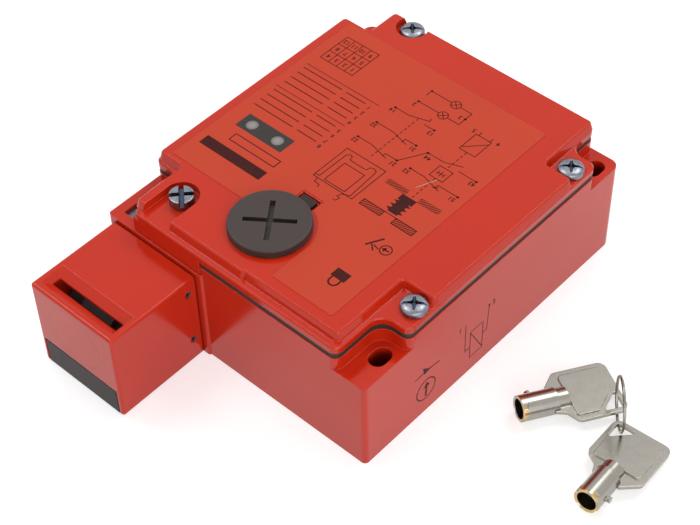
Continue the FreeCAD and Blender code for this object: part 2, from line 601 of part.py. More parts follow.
def drum():
    """Barrel turned by the tongue: teeth for its windows, and a cam for the plunger at the back."""
    x0 = HEAD_X - HEAD_W / 2 + HEAD_WALL + 0.6
    length = HEAD_W - 2 * HEAD_WALL - 1.2
    body = rod(DRUM_R, (x0, DRUM_Y, DRUM_Z), (1, 0, 0), length)
    groove_x = HEAD_X - CAM_W / 2
    groove = rod(DRUM_R + 1, (groove_x, DRUM_Y, DRUM_Z), (1, 0, 0), CAM_W)
    body = body.cut(groove.cut(rod(CAM_R, (groove_x, DRUM_Y, DRUM_Z), (1, 0, 0), CAM_W)))
    teeth = []
    for angle in DRUM_TEETH:
        tooth = box(HEAD_X - 6, HEAD_X + 6, DRUM_R - 2, DRUM_TOOTH_R,
                    -DRUM_TOOTH_T / 2, DRUM_TOOTH_T / 2)
        tooth.rotate(V(0, 0, 0), V(1, 0, 0), angle)
        tooth.translate(V(0, DRUM_Y, DRUM_Z))
        teeth.append(tooth)
    relief = cam_relief().extrude(V(CAM_W, 0, 0))
    relief.translate(V(HEAD_X - CAM_W / 2, DRUM_Y, DRUM_Z))
    bore = rod(DRUM_AXLE_D / 2 + FIT, (x0 - 1, DRUM_Y, DRUM_Z), (1, 0, 0), length + 2)
    return joined([body] + teeth).cut([relief, bore])


# ---------------------------------------------------------------- plunger and tongue contacts
COLLAR_Y = LOCK_Y - 5.6
CONTACT_Y1 = COLLAR_Y - 7.0
CONTACT_Y0 = CONTACT_Y1 - 41.0
CONTACT_W = 21.0
CONTACT_H = 26.0
CARRIAGE_W = 8.0
CARRIAGE_Y0 = CONTACT_Y0 + 3.5
CARRIAGE_Y1 = CONTACT_Y1 - 6.5
BRIDGE_T = 1.0
BRIDGE_L = 3.0
CARRIAGE_TOP = SPIGOT_Z + 4.0


def plunger():
    y0 = CARRIAGE_Y1
    y1 = nose_start()
    stem = rod(PLUNGER_D / 2, (HEAD_X, y0, SPIGOT_Z), (0, 1, 0), y1 - y0)
    nose = Part.makeSphere(NOSE_R, V(HEAD_X, y1, SPIGOT_Z))
    collar = rod(COLLAR_D / 2, (HEAD_X, COLLAR_Y, SPIGOT_Z), (0, 1, 0), COLLAR_T)
    return joined([stem, nose, collar])


def plunger_guide():
    y0 = NECK_BLOCK_Y + 0.5
    length = SPIGOT_END_Y - 0.5 - y0
    bush = rod(PLUNGER_D / 2 + 1.5, (HEAD_X, y0, SPIGOT_Z), (0, 1, 0), length)
    return bush.cut(rod(PLUNGER_D / 2 + FIT, (HEAD_X, y0 - 1, SPIGOT_Z), (0, 1, 0), length + 2))


def plunger_spring():
    wire_r = 0.45
    height = COLLAR_Y - CONTACT_Y1 - 2 * wire_r - 0.2
    return helix((HEAD_X, CONTACT_Y1 + wire_r + 0.1, SPIGOT_Z), (0, 1, 0), height / 3.5, height,
                 PLUNGER_D / 2 + 1.3, wire_r)


def bridge_places():
    return [CARRIAGE_Y0 + 4.0 + 9.5 * i for i in range(3)]


def contact_block():
    """Open-topped moulding that guides the carriage and carries six terminals."""
    x0, x1 = HEAD_X - CONTACT_W / 2, HEAD_X + CONTACT_W / 2
    top = FLOOR_Z + CONTACT_H
    block = box(x0, x1, CONTACT_Y0, CONTACT_Y1, FLOOR_Z, top)
    half = CARRIAGE_W / 2 + GAP
    channel = box(HEAD_X - half, HEAD_X + half, CONTACT_Y0 + 2, CONTACT_Y1 - 2, SPIGOT_Z - 4.2,
                  top + 1)
    bay = box(x0 + 3.2, x1 - 3.2, CONTACT_Y0 + 2, CONTACT_Y1 - 2, CARRIAGE_TOP - 1.2, top + 1)
    stem_hole = rod(PLUNGER_D / 2 + 0.4, (HEAD_X, CONTACT_Y1 - 4, SPIGOT_Z), (0, 1, 0), 6)
    screw_holes = [disc(x, y, 1.0 + FIT, top - 6, top + 1) for x, y in contact_terminals()]
    return block.cut([channel, bay, stem_hole] + screw_holes)


def contact_terminals():
    side = CONTACT_W / 2 - 1.6
    return [(HEAD_X + s * side, y + 4.5) for y in bridge_places() for s in (-1, 1)]


def contact_carriage():
    half = CARRIAGE_W / 2
    return box(HEAD_X - half, HEAD_X + half, CARRIAGE_Y0, CARRIAGE_Y1, SPIGOT_Z - 4.0, CARRIAGE_TOP)


def contact_bridges():
    """Moving contacts, one strip with two buttons for each pole."""
    reach = CONTACT_W / 2 - 3.8
    strips = []
    for y in bridge_places():
        strip = box(HEAD_X - reach, HEAD_X + reach, y - BRIDGE_L / 2, y + BRIDGE_L / 2,
                    CARRIAGE_TOP, CARRIAGE_TOP + BRIDGE_T)
        buttons = [rod(1.0, (HEAD_X + s * (reach - 1.2), y + BRIDGE_L / 2, CARRIAGE_TOP + 1.0),
                       (0, 1, 0), 0.5) for s in (-1, 1)]
        strips.append(joined([strip] + buttons))
    return Part.makeCompound(strips)


def fixed_contacts():
    """Fixed contacts: an upright blade for each button, and a tail under its terminal screw."""
    top = FLOOR_Z + CONTACT_H
    blades = []
    for y in bridge_places():
        face = y + BRIDGE_L / 2 + 0.5 + PLUNGER_TRAVEL + 0.15
        for s in (-1, 1):
            inner = HEAD_X + s * (CONTACT_W / 2 - 6.2)
            outer = HEAD_X + s * (CONTACT_W / 2 - 3.2)
            edge = HEAD_X + s * (CONTACT_W / 2)
            upright = box(min(inner, outer), max(inner, outer), face, face + 0.8,
                          CARRIAGE_TOP - 0.8, top + 0.8)
            tail = box(min(inner, edge), max(inner, edge), face - 3.4, face + 0.8, top, top + 0.8)
            blades.append(joined([upright, tail]))
    holes = [disc(x, y, 1.0 + FIT, top - 1, top + 2) for x, y in contact_terminals()]
    return Part.makeCompound([blade.cut(holes) for blade in blades])


# ---------------------------------------------------------------- key lock, bolt and solenoid
LOCK_BOTTOM = 24.2
LOCK_FACE = TOP_Z - 1.0
CAM_PIN_R = BOLT_TRAVEL / math.sqrt(2)
CAM_PIN_D = 2.4
STRIP_Z = 17.4
STRIP_X0 = LOCK_X - 8.2
STRIP_X1 = HEAD_X - 10.0
STRIP_Y = LOCK_Y - 3.1
LOCK_CAM_Z = STRIP_Z + STRIP_T + 1.2
BOLT_TIP_X = HEAD_X - COLLAR_D / 2 - 0.3
BOLT_Y1 = COLLAR_Y + PLUNGER_TRAVEL - 0.3


def lock_body():
    flange = disc(LOCK_X, LOCK_Y, LOCK_FLANGE_D / 2, LOCK_FACE - 0.8, LOCK_FACE)
    shell = disc(LOCK_X, LOCK_Y, LOCK_D / 2, LOCK_BOTTOM, LOCK_FACE)
    bore = disc(LOCK_X, LOCK_Y, LOCK_BARREL_D / 2 + FIT, LOCK_BOTTOM - 1, LOCK_FACE + 1)
    return joined([flange, shell]).cut(bore)


def lock_nut():
    z1 = FLANGE_Z - 1.0
    nut = Part.Face(Part.makePolygon(
        [V(LOCK_X + 14.0 * math.cos(math.radians(60 * i)),
           LOCK_Y + 14.0 * math.sin(math.radians(60 * i)), z1 - 2.5) for i in range(7)]))
    nut = nut.extrude(V(0, 0, 2.5))
    return nut.cut(disc(LOCK_X, LOCK_Y, LOCK_D / 2 + FIT, 0, z1 + 1))


def lock_barrel():
    """Rotor with the annular keyway of a tubular lock and a squared tail."""
    barrel = disc(LOCK_X, LOCK_Y, LOCK_BARREL_D / 2, LOCK_BOTTOM + 0.3, LOCK_FACE)
    keyway = tube(LOCK_X, LOCK_Y, KEYWAY_D / 2, KEYWAY_D / 2 - KEYWAY_T, LOCK_FACE - KEYWAY_DEPTH,
                  LOCK_FACE + 1)
    notch = box(LOCK_X - 0.8, LOCK_X + 0.8, LOCK_Y + KEYWAY_D / 2 - 1, LOCK_Y + KEYWAY_D / 2 + 1.2,
                LOCK_FACE - KEYWAY_DEPTH, LOCK_FACE + 1)
    tail = box(LOCK_X - 2, LOCK_X + 2, LOCK_Y - 2, LOCK_Y + 2, LOCK_CAM_Z, LOCK_BOTTOM + 0.3)
    return joined([barrel.cut([keyway, notch]), tail])


def lock_cam():
    """Disc on the barrel's tail, with the pin that draws the bolt strip back."""
    z1 = LOCK_CAM_Z + 2.0
    plate = disc(LOCK_X, LOCK_Y, CAM_PIN_R + CAM_PIN_D / 2 + 0.5, LOCK_CAM_Z, z1)
    plate = plate.cut(box(LOCK_X - 2 - FIT, LOCK_X + 2 + FIT, LOCK_Y - 2 - FIT, LOCK_Y + 2 + FIT,
                          LOCK_CAM_Z - 1, z1 + 1))
    pin = disc(LOCK_X + CAM_PIN_R * math.sin(math.radians(LOCK_TURN / 2)),
               LOCK_Y - CAM_PIN_R * math.cos(math.radians(LOCK_TURN / 2)), CAM_PIN_D / 2,
               STRIP_Z - 0.6, LOCK_CAM_Z)
    return plate.fuse(pin)


def bolt_strip():
    """Steel strip from the armature to the bolt, with a window for the cam's pin and an arm."""
    half = 5.0
    strip = box(STRIP_X0, STRIP_X1 + 1, STRIP_Y - half, STRIP_Y + half, STRIP_Z, STRIP_Z + STRIP_T)
    arm = box(STRIP_X0, STRIP_X0 + 6, 10.0, STRIP_Y, STRIP_Z, STRIP_Z + STRIP_T)
    pin_x = LOCK_X + CAM_PIN_R * math.sin(math.radians(LOCK_TURN / 2))
    room = CAM_PIN_D / 2 + 0.35
    window = box(pin_x - room, pin_x + room, LOCK_Y - CAM_PIN_R - room, LOCK_Y + 0.2,
                 STRIP_Z - 1, STRIP_Z + STRIP_T + 1)
    return joined([strip, arm]).cut(window)


def lock_bolt():
    """Bolt that stands behind the plunger's collar while the guard is locked."""
    block = box(STRIP_X1 - 2, BOLT_TIP_X, COLLAR_Y + 0.2, BOLT_Y1, STRIP_Z - 3, STRIP_Z + STRIP_T + 3)
    tip = [e for e in block.Edges if e.BoundBox.XMin > BOLT_TIP_X - 1e-6 and e.BoundBox.ZLength > 1]
    block = block.makeFillet(0.6, tip)
    return block.cut(box(STRIP_X1 - 3, STRIP_X1 + 1 + GAP / 2, COLLAR_Y - 1, BOLT_Y1 + 1,
                         STRIP_Z, STRIP_Z + STRIP_T))


SOLENOID_X1 = STRIP_X0 - BOLT_TRAVEL - 4.3
SOLENOID_X0 = -HALF_W + PAD_W + WALL + 1.0
SOLENOID_Z = STRIP_Z + STRIP_T / 2


def yoke():
    """Bent steel frame: base and two end plates."""
    y0, y1 = STRIP_Y - SOLENOID_W / 2, STRIP_Y + SOLENOID_W / 2
    top = SOLENOID_Z + SOLENOID_W / 2
    base = box(SOLENOID_X0, SOLENOID_X1, y0, y1, FLOOR_Z, FLOOR_Z + COIL_WALL)
    ends = [box(x, x + COIL_WALL, y0, y1, FLOOR_Z, top)
            for x in (SOLENOID_X0, SOLENOID_X1 - COIL_WALL)]
    hole = rod(ARMATURE_D / 2 + GAP, (SOLENOID_X1 - 5, STRIP_Y, SOLENOID_Z), (1, 0, 0), 10)
    return joined([base] + ends).cut(hole)


def bobbin():
    x0, x1 = SOLENOID_X0 + COIL_WALL, SOLENOID_X1 - COIL_WALL
    r = SOLENOID_W / 2 - 0.6
    core = rod(ARMATURE_D / 2 + 1.2, (x0, STRIP_Y, SOLENOID_Z), (1, 0, 0), x1 - x0)
    ends = [rod(r, (x, STRIP_Y, SOLENOID_Z), (1, 0, 0), 1.0) for x in (x0, x1 - 1.0)]
    bore = rod(ARMATURE_D / 2 + FIT, (x0 - 1, STRIP_Y, SOLENOID_Z), (1, 0, 0), x1 - x0 + 2)
    return joined([core] + ends).cut(bore)


def coil():
    x0, x1 = SOLENOID_X0 + COIL_WALL + 1.0, SOLENOID_X1 - COIL_WALL - 1.0
    r = SOLENOID_W / 2 - 1.2
    winding = rod(r, (x0, STRIP_Y, SOLENOID_Z), (1, 0, 0), x1 - x0)
    return winding.cut(rod(ARMATURE_D / 2 + 1.2, (x0 - 1, STRIP_Y, SOLENOID_Z), (1, 0, 0),
                           x1 - x0 + 2))


def armature():
    """Plunger of the solenoid, slotted for the strip, with a ring that seats its spring."""
    x0 = SOLENOID_X0 + COIL_WALL + BOLT_TRAVEL + 1.0
    core = rod(ARMATURE_D / 2, (x0, STRIP_Y, SOLENOID_Z), (1, 0, 0), STRIP_X0 + 2.5 - x0)
    ring = rod(ARMATURE_D / 2 + 1.6, (STRIP_X0 - 0.8, STRIP_Y, SOLENOID_Z), (1, 0, 0), 0.8)
    slot = box(STRIP_X0, STRIP_X0 + 5, STRIP_Y - 10, STRIP_Y + 10, STRIP_Z, STRIP_Z + STRIP_T)
    return joined([core, ring]).cut(slot)


def armature_spring():
    wire_r = 0.35
    x0 = SOLENOID_X1 + wire_r + 0.1
    height = STRIP_X0 - 0.8 - wire_r - 0.1 - x0
    return helix((x0, STRIP_Y, SOLENOID_Z), (1, 0, 0), height / 3.5, height,
                 ARMATURE_D / 2 + 0.8, wire_r)


# ---------------------------------------------------------------- lock contacts
LOCK_BLOCK_X1 = STRIP_X0 - BOLT_TRAVEL - 1.0
LOCK_BLOCK_X0 = LOCK_BLOCK_X1 - 23.0
LOCK_BLOCK_Y = STRIP_Y - 23.5
LOCK_BLOCK_W = 19.0
LOCK_BLOCK_H = 24.0


def lock_contact_block():
    """Second switching block, worked by the bolt strip's arm."""
    y0, y1 = LOCK_BLOCK_Y - LOCK_BLOCK_W / 2, LOCK_BLOCK_Y + LOCK_BLOCK_W / 2
    top = FLOOR_Z + LOCK_BLOCK_H
    block = box(LOCK_BLOCK_X0, LOCK_BLOCK_X1, y0, y1, FLOOR_Z, top)
    channel = box(LOCK_BLOCK_X0 + 2, LOCK_BLOCK_X1 + 1, LOCK_BLOCK_Y - 3 - GAP,
                  LOCK_BLOCK_Y + 3 + GAP, STRIP_Z - 3.2, top + 1)
    bay = box(LOCK_BLOCK_X0 + 2, LOCK_BLOCK_X1 - 2, y0 + 3, y1 - 3, STRIP_Z + 2.0, top + 1)
    holes = [disc(x, y, 1.0 + FIT, top - 6, top + 1) for x, y in lock_terminals()]
    return block.cut([channel, bay] + holes)


def lock_terminals():
    side = LOCK_BLOCK_W / 2 - 1.5
    return [(x, LOCK_BLOCK_Y + s * side) for x in (LOCK_BLOCK_X0 + 6, LOCK_BLOCK_X1 - 7)
            for s in (-1, 1)]


def lock_carriage():
    """Slider with its two bridges' seat, pushed by the arm of the bolt strip."""
    return box(LOCK_BLOCK_X0 + 2.6 + BOLT_TRAVEL, STRIP_X0, LOCK_BLOCK_Y - 3, LOCK_BLOCK_Y + 3,
               STRIP_Z - 3.0, STRIP_Z + 3.2)


def lock_bridges():
    strips = []
    for x in (LOCK_BLOCK_X0 + 10.5, LOCK_BLOCK_X1 - 5.5):
        strips.append(box(x - 1.5, x + 1.5, LOCK_BLOCK_Y - 6, LOCK_BLOCK_Y + 6,
                          STRIP_Z + 3.2, STRIP_Z + 4.2))
    return Part.makeCompound(strips)


# ---------------------------------------------------------------- chassis, terminals
STRIP_BLOCK_Y0 = -35.0
STRIP_BLOCK_Y1 = -22.0
STRIP_BLOCK_H = 16.0
WAYS = 8
WAY_PITCH = 8.0
EARTH_AT = (-HALF_W + 13.0, -16.0)
EARTH_D = 4.0


def chassis_plate():
    wide = box(SCREW_X + SCREW_D + 0.6, HALF_W - WALL - 0.8, ENTRY_END_Y + PAD_L_ENTRY + WALL + 0.6,
               HEAD_END_Y - NECK_PAD_L - WALL - 0.6, CHASSIS_Z, FLOOR_Z)
    tongue = box(-HALF_W + PAD_W + WALL + 1.0, HALF_W - NECK_PAD_W - WALL - 1.0, 0,
                 NECK_BLOCK_Y - 0.6, CHASSIS_Z, FLOOR_Z)
    holes = [disc(x, y, 1.5 + GAP, 0, 10) for x, y in chassis_posts()]
    return joined([wide, tongue]).cut(holes + [disc(*EARTH_AT, EARTH_D / 2 + FIT, 0, 10)])


def chassis_screws():
    made = [screw(x, y, FLOOR_Z, 5.5, 1.8, 0.8, FLOOR_Z - BACK, 3.0) for x, y in chassis_posts()]
    return Part.makeCompound([s.cut(pozi_cross(*p, FLOOR_Z + 1.8, 1.6, 0.8, 0.9))
                              for s, p in zip(made, chassis_posts())])


def terminal_places():
    x0 = -(WAYS - 1) * WAY_PITCH / 2
    return [x0 + i * WAY_PITCH for i in range(WAYS)]


def terminal_strip():
    """Moulded terminal strip for the solenoid, the lamps and the spare ways."""
    half = WAYS * WAY_PITCH / 2
    top = FLOOR_Z + STRIP_BLOCK_H
    base = box(-half, half, STRIP_BLOCK_Y0, STRIP_BLOCK_Y1, FLOOR_Z, top)
    middle = (STRIP_BLOCK_Y0 + STRIP_BLOCK_Y1) / 2
    cuts = [disc(x, middle, 2.2 + GAP, top - 5, top + 1) for x in terminal_places()]
    cuts += [box(x - 2.2, x + 2.2, STRIP_BLOCK_Y0 - 1, STRIP_BLOCK_Y1 + 1, top - 10, top - 6)
             for x in terminal_places()]
    return base.cut(cuts)


def terminal_screws():
    """Terminal screws of the strip and of both contact blocks."""
    strip_z = FLOOR_Z + STRIP_BLOCK_H - 5.0
    middle = (STRIP_BLOCK_Y0 + STRIP_BLOCK_Y1) / 2
    made = []
    for x in terminal_places():
        made.append(disc(x, middle, 2.2, strip_z, strip_z + 3.6).cut(
            box(x - 3, x + 3, middle - 0.4, middle + 0.4, strip_z + 2.6, strip_z + 5)))
    tops = [(x, y, FLOOR_Z + CONTACT_H + 0.8) for x, y in contact_terminals()]
    tops += [(x, y, FLOOR_Z + LOCK_BLOCK_H) for x, y in lock_terminals()]
    for x, y, z in tops:
        head = disc(x, y, 1.5, z, z + 1.3).fuse(disc(x, y, 1.0, z - 4, z))
        made.append(head.cut(box(x - 3, x + 3, y - 0.25, y + 0.25, z + 0.7, z + 3)))
    return Part.makeCompound(made)


def earth_screw():
    x, y = EARTH_AT
    return screw(x, y, FLOOR_Z, 7.0, 2.4, 1.0, CHASSIS_T, EARTH_D).cut(
        pozi_cross(x, y, FLOOR_Z + 2.4, 2.0, 0.9, 1.2))


# ---------------------------------------------------------------- protective cap over the lock
CAP_Z = TOP_Z + 0.6
CAP_SKIRT_R = LOCK_FLANGE_D / 2 - 0.3
CAP_SKIRT_T = 1.6


def unlock_cap():
    """Round cap with a cross slot, on a short skirt that stands on the sleeve of its seal."""
    top = CAP_Z + CAP_T
    plate = disc(LOCK_X, LOCK_Y, CAP_D / 2, CAP_Z, top)
    rim = [e for e in plate.Edges if e.BoundBox.ZLength < 1e-6 and e.BoundBox.ZMin > CAP_Z + 0.1]
    plate = plate.makeFillet(0.5, rim)
    skirt = tube(LOCK_X, LOCK_Y, CAP_SKIRT_R, CAP_SKIRT_R - CAP_SKIRT_T, TOP_Z + FIT, CAP_Z)
    arm = CAP_D / 2 - 4.35
    cross = pozi_cross(0, 0, top, arm, 1.6, 1.3)
    cross.rotate(V(0, 0, 0), V(0, 0, 1), 36.5)
    cross.translate(V(LOCK_X, LOCK_Y, 0))
    return joined([plate, skirt]).cut(cross)


def cap_seal():
    """Rubber sleeve under the cap's skirt, with the lip that seals in the cover's recess."""
    sleeve = tube(LOCK_X, LOCK_Y, CAP_SKIRT_R, CAP_SKIRT_R - CAP_SKIRT_T, LOCK_FACE + GAP,
                  TOP_Z + FIT)
    lip = tube(LOCK_X, LOCK_Y, LOCK_FLANGE_D / 2 + 0.1, CAP_SKIRT_R - 0.5, TOP_Z - 0.6, TOP_Z - 0.2)
    return joined([sleeve, lip])


def cap_leash():
    """Leash: a ring round the cap's skirt, and a tab that lies in its notch in the cover."""
    ring = tube(LOCK_X, LOCK_Y, CAP_D / 2 + 0.1, CAP_SKIRT_R + 0.25, TOP_Z + 0.05, CAP_Z - 0.05)
    tab = cap_tab_notch(0.9, TOP_Z - 1.3).common(
        box(LOCK_X - TAB_W, LOCK_X + TAB_W, LOCK_Y - CAP_D, LOCK_Y - CAP_SKIRT_R - 0.45,
            TOP_Z - 1.3, TOP_Z + 0.35))
    return ring.fuse(tab).removeSplitter()


# ---------------------------------------------------------------- keys and ring
WEB_Z = RING_WIRE + 0.85 + BOW_T / 2    # height of the bow's web where the ring goes through
RING_POINT = (BOW_END - 2.8, -BOW_W / 2 + 2.9)


def ring_reach():
    """How far from the ring's middle its wire goes through a bow, between its two limits."""
    r = (RING_D - RING_WIRE) / 2
    under = RING_D / 2 - WEB_Z + BOW_T / 2
    over = RING_D / 2 - WEB_Z - BOW_T / 2
    inner = math.sqrt((r - RING_WIRE / 2) ** 2 - under ** 2)
    outer = math.sqrt((r + RING_WIRE / 2) ** 2 - over ** 2)
    return inner + RING_SEAT * (outer - inner)


def key_tilt():
    """Angle of a key that lies on the end of its tube, its bow down at the ring's wire."""
    reach = RING_POINT[0] - KEY_TUBE_L
    arm = math.hypot(KEY_D / 2, reach)
    return math.acos(WEB_Z / arm) - math.atan2(reach, KEY_D / 2)


def place_key(shape, which):
    """Puts a key drawn along +X, its mouth at the origin, on the ring and the table.

    The second key lies with its other face up.
    """
    side = (1, -1)[which]
    if side < 0:
        shape.rotate(V(0, 0, 0), V(1, 0, 0), 180)
    tilt = key_tilt()
    shape.rotate(V(0, 0, 0), V(0, 1, 0), math.degrees(tilt))
    heading = FreeCAD.Rotation(V(0, 0, 1), KEY_HEADINGS[which])
    shape.rotate(V(0, 0, 0), V(0, 0, 1), KEY_HEADINGS[which])
    ring_line = FreeCAD.Rotation(V(0, 0, 1), RING_HEADING)
    hole = V(*RING_AT, 0) + ring_line.multVec(V(side * ring_reach(), 0, 0))
    point = heading.multVec(V(RING_POINT[0] * math.cos(tilt), side * RING_POINT[1], 0))
    mouth_z = WEB_Z + RING_POINT[0] * math.sin(tilt)
    shape.translate(hole - point + V(0, 0, mouth_z))
    return shape


def key_tube(which):
    """Barrel of the tubular key, with its locating nib and the cuts round its mouth."""
    wall = rod(KEY_D / 2, (0, 0, 0), (1, 0, 0), KEY_TUBE_L).cut(
        rod(KEY_BORE / 2, (-1, 0, 0), (1, 0, 0), KEY_TUBE_L - 0.5))
    nib = rod(0.9, (4.4, KEY_D / 2 - 0.4, 0), (0, 1, 0), 1.5)
    cuts = []
    for i in range(4):
        cut = box(-1, 1.6 + 0.5 * (i % 2), -0.7, 0.7, KEY_D / 2 - 0.5, KEY_D / 2 + 1)
        cut.rotate(V(0, 0, 0), V(1, 0, 0), 90 * i + 35)
        cuts.append(cut)
    return place_key(wall.fuse(nib).cut(cuts), which)


def key_bow(which):
    """Bow of the key: a flat web with a raised panel on both faces and a shank behind the tube."""
    start, side = KEY_TUBE_L + 4.0, BOW_W / 2
    plan = [(KEY_TUBE_L - 1.6, -4.2, 0.6), (KEY_TUBE_L + 1.6, -5.3, 2.0), (start, -side, 2.2),
            (BOW_END, -side, 2.6), (BOW_END, side, 2.4), (start - 1.2, side, 2.0),
            (KEY_TUBE_L - 1.6, 4.4, 0.6)]
    web = prism(plan, -BOW_T / 2, BOW_T / 2)
    edge, far = side - 1.7, BOW_END - 1.7
    hole_u, hole_v = BOW_END - BOW_RIM, -side + BOW_RIM
    slant = hole_u - hole_v - RING_HOLE - 1.6
    panel = prism([(start - 0.2, -edge, 1.2), (slant - edge, -edge, 0.8), (far, far - slant, 0.8),
                   (far, edge, 1.2), (start - 0.2, edge, 1.2)],
                  -BOW_T / 2 - BOW_PANEL, BOW_T / 2 + BOW_PANEL)
    shank = rod(SHANK_D / 2, (KEY_TUBE_L, 0, 0), (1, 0, 0), 3.4)
    hole = prism([(hole_u - RING_HOLE, hole_v, 0.6), (hole_u, hole_v, 0.6),
                  (hole_u, hole_v + RING_HOLE, 0.6)], -BOW_T, BOW_T)
    inside = rod(KEY_D / 2 + GAP / 2, (-5, 0, 0), (1, 0, 0), KEY_TUBE_L + 5)
    return place_key(joined([web, panel, shank]).cut([hole, inside]), which)


def key_ring():
    """Wire ring that stands through both bows."""
    axis = FreeCAD.Rotation(V(0, 0, 1), RING_HEADING).multVec(V(0, 1, 0))
    return Part.makeTorus((RING_D - RING_WIRE) / 2, RING_WIRE / 2, V(*RING_AT, RING_D / 2), axis)


PIECES = {
    "housing": housing, "cover": cover, "cover_gasket": cover_gasket,
    "cover_screws": cover_screws, "captive_screw": captive_screw, "label_sheet": label_sheet,
    "led_lenses": led_lenses, "led_board": led_board,
    "head_housing": head_housing, "head_seal": head_seal, "head_roll_pins": head_roll_pins,
    "head_lock_plate": head_lock_plate, "slot_plug": slot_plug, "drum": drum,
    "drum_axle": drum_axle, "plunger": plunger, "plunger_guide": plunger_guide,
    "plunger_spring": plunger_spring, "contact_block": contact_block,
    "contact_carriage": contact_carriage, "contact_bridges": contact_bridges,
    "fixed_contacts": fixed_contacts, "lock_body": lock_body, "lock_nut": lock_nut,
    "lock_barrel": lock_barrel, "lock_cam": lock_cam, "bolt_strip": bolt_strip,
    "lock_bolt": lock_bolt, "solenoid_yoke": yoke, "solenoid_bobbin": bobbin,
    "solenoid_coil": coil, "armature": armature, "armature_spring": armature_spring,
    "lock_contact_block": lock_contact_block, "lock_carriage": lock_carriage,
    "lock_bridges": lock_bridges, "chassis_plate": chassis_plate,
    "chassis_screws": chassis_screws, "terminal_strip": terminal_strip,
    "terminal_screws": terminal_screws, "earth_screw": earth_screw,
    "unlock_cap": unlock_cap, "cap_seal": cap_seal, "cap_leash": cap_leash,
    "key_1_tube": lambda: key_tube(0), "key_1_bow": lambda: key_bow(0),
    "key_2_tube": lambda: key_tube(1), "key_2_bow": lambda: key_bow(1),
    "key_ring": key_ring,
}

if __name__ == "__main__":
    os.makedirs("parts", exist_ok=True)
    for name, make in PIECES.items():
        make().exportStep(f"parts/{name}.step")
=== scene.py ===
"""Looks of the tongue interlock switch: finishes for its solids, the printing on its label and
side, and a plain pale studio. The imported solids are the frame, and nothing here moves them."""
import json
import math
from functools import partial, reduce

import bpy
import numpy as np
from mathutils import Matrix, Vector


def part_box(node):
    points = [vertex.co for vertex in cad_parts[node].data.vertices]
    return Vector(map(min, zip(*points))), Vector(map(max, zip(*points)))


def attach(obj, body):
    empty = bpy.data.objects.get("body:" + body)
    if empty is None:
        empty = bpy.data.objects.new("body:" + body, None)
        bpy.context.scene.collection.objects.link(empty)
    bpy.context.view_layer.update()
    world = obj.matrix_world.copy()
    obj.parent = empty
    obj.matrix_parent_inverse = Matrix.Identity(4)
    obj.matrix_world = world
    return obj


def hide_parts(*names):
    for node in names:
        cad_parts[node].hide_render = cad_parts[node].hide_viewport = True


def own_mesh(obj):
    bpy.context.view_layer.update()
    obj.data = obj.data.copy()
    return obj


bl_info = {
    "name": "Tongue interlock switch looks",
    "version": (1, 0, 0),
    "blender": (4, 5, 0),
    "location": "View3D > Sidebar > Interlock",
    "description": "Finishes, label printing and studio for a tongue interlock switch",
    "category": "Object",
}

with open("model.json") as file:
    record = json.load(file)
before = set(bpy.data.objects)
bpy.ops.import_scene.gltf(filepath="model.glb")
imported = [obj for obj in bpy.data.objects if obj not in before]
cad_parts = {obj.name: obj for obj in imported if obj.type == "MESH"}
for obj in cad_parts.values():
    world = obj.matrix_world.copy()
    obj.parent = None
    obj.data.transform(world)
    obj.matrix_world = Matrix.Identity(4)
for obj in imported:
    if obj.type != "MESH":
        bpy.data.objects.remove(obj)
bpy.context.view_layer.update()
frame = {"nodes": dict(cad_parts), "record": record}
MM = 0.001
MOUNTS = frame["record"]["mounts"]
LABEL_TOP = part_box("label_sheet")[1].z
CASE_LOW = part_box("housing")[0]
HEAD_LOW, HEAD_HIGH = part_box("head_housing")
HEAD_CIRCLE = (0.0300, HEAD_HIGH.y, 0.0215)     # middle of the circle on the head's end face
HEAD_CIRCLE_R = 0.0102
LENS_LOW, LENS_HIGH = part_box("led_lenses")
LENS_R = (LENS_HIGH.y - LENS_LOW.y) / 2
LENS_Y = (LENS_HIGH.y + LENS_LOW.y) / 2
LENS_X = (LENS_LOW.x + LENS_R, LENS_HIGH.x - LENS_R)
ENTRIES = [(mount["pos_m"][0], CASE_LOW.y, mount["pos_m"][2])
           for mount in MOUNTS if mount["kind"] == "threaded_hole"]
ENTRY_PITCH, ENTRY_REACH, ENTRY_END = 0.0015, 0.0096, 0.0084
FIXINGS = next(mount for mount in MOUNTS if mount["kind"] == "bolt_pattern")
PAN_HEAD, CHEESE_HEAD = 2.5, 3.2                # heights of the screws' heads, in millimetres
SCREW_R, SCREW_PITCH = 2.0, 0.7                 # of their shanks, in millimetres
SPRING_WIRE, SPRING_TURNS = 0.0007, 3.5
KEY_TUBE_L = 0.011
COIL_WIRE, COIL_LAP = 0.0007, 0.0052            # pitch of the solenoid's wire, and of its tape
SLOT_SHADE_FULL = 0.0035                              # depth at which the painted shade in a fixing slot is full
WINDOW_ENDS, WINDOW_HALF, WINDOW_BITE = (4.0, 3.9), 3.15, 1.95      # in millimetres
SCRATCH, SCRATCH_W = [(-17.4, 1.8), (-18.6, -1.0), (-20.0, -4.5)], 0.2


# ---------------------------------------------------------------- properties
def colour(name, text, value):
    return bpy.props.FloatVectorProperty(name=name, description=text, subtype="COLOR", size=3,
                                         min=0.0, max=1.0, default=value)


def number(name, text, value, unit="NONE"):
    return bpy.props.FloatProperty(name=name, description=text, unit=unit, min=0.0, default=value)


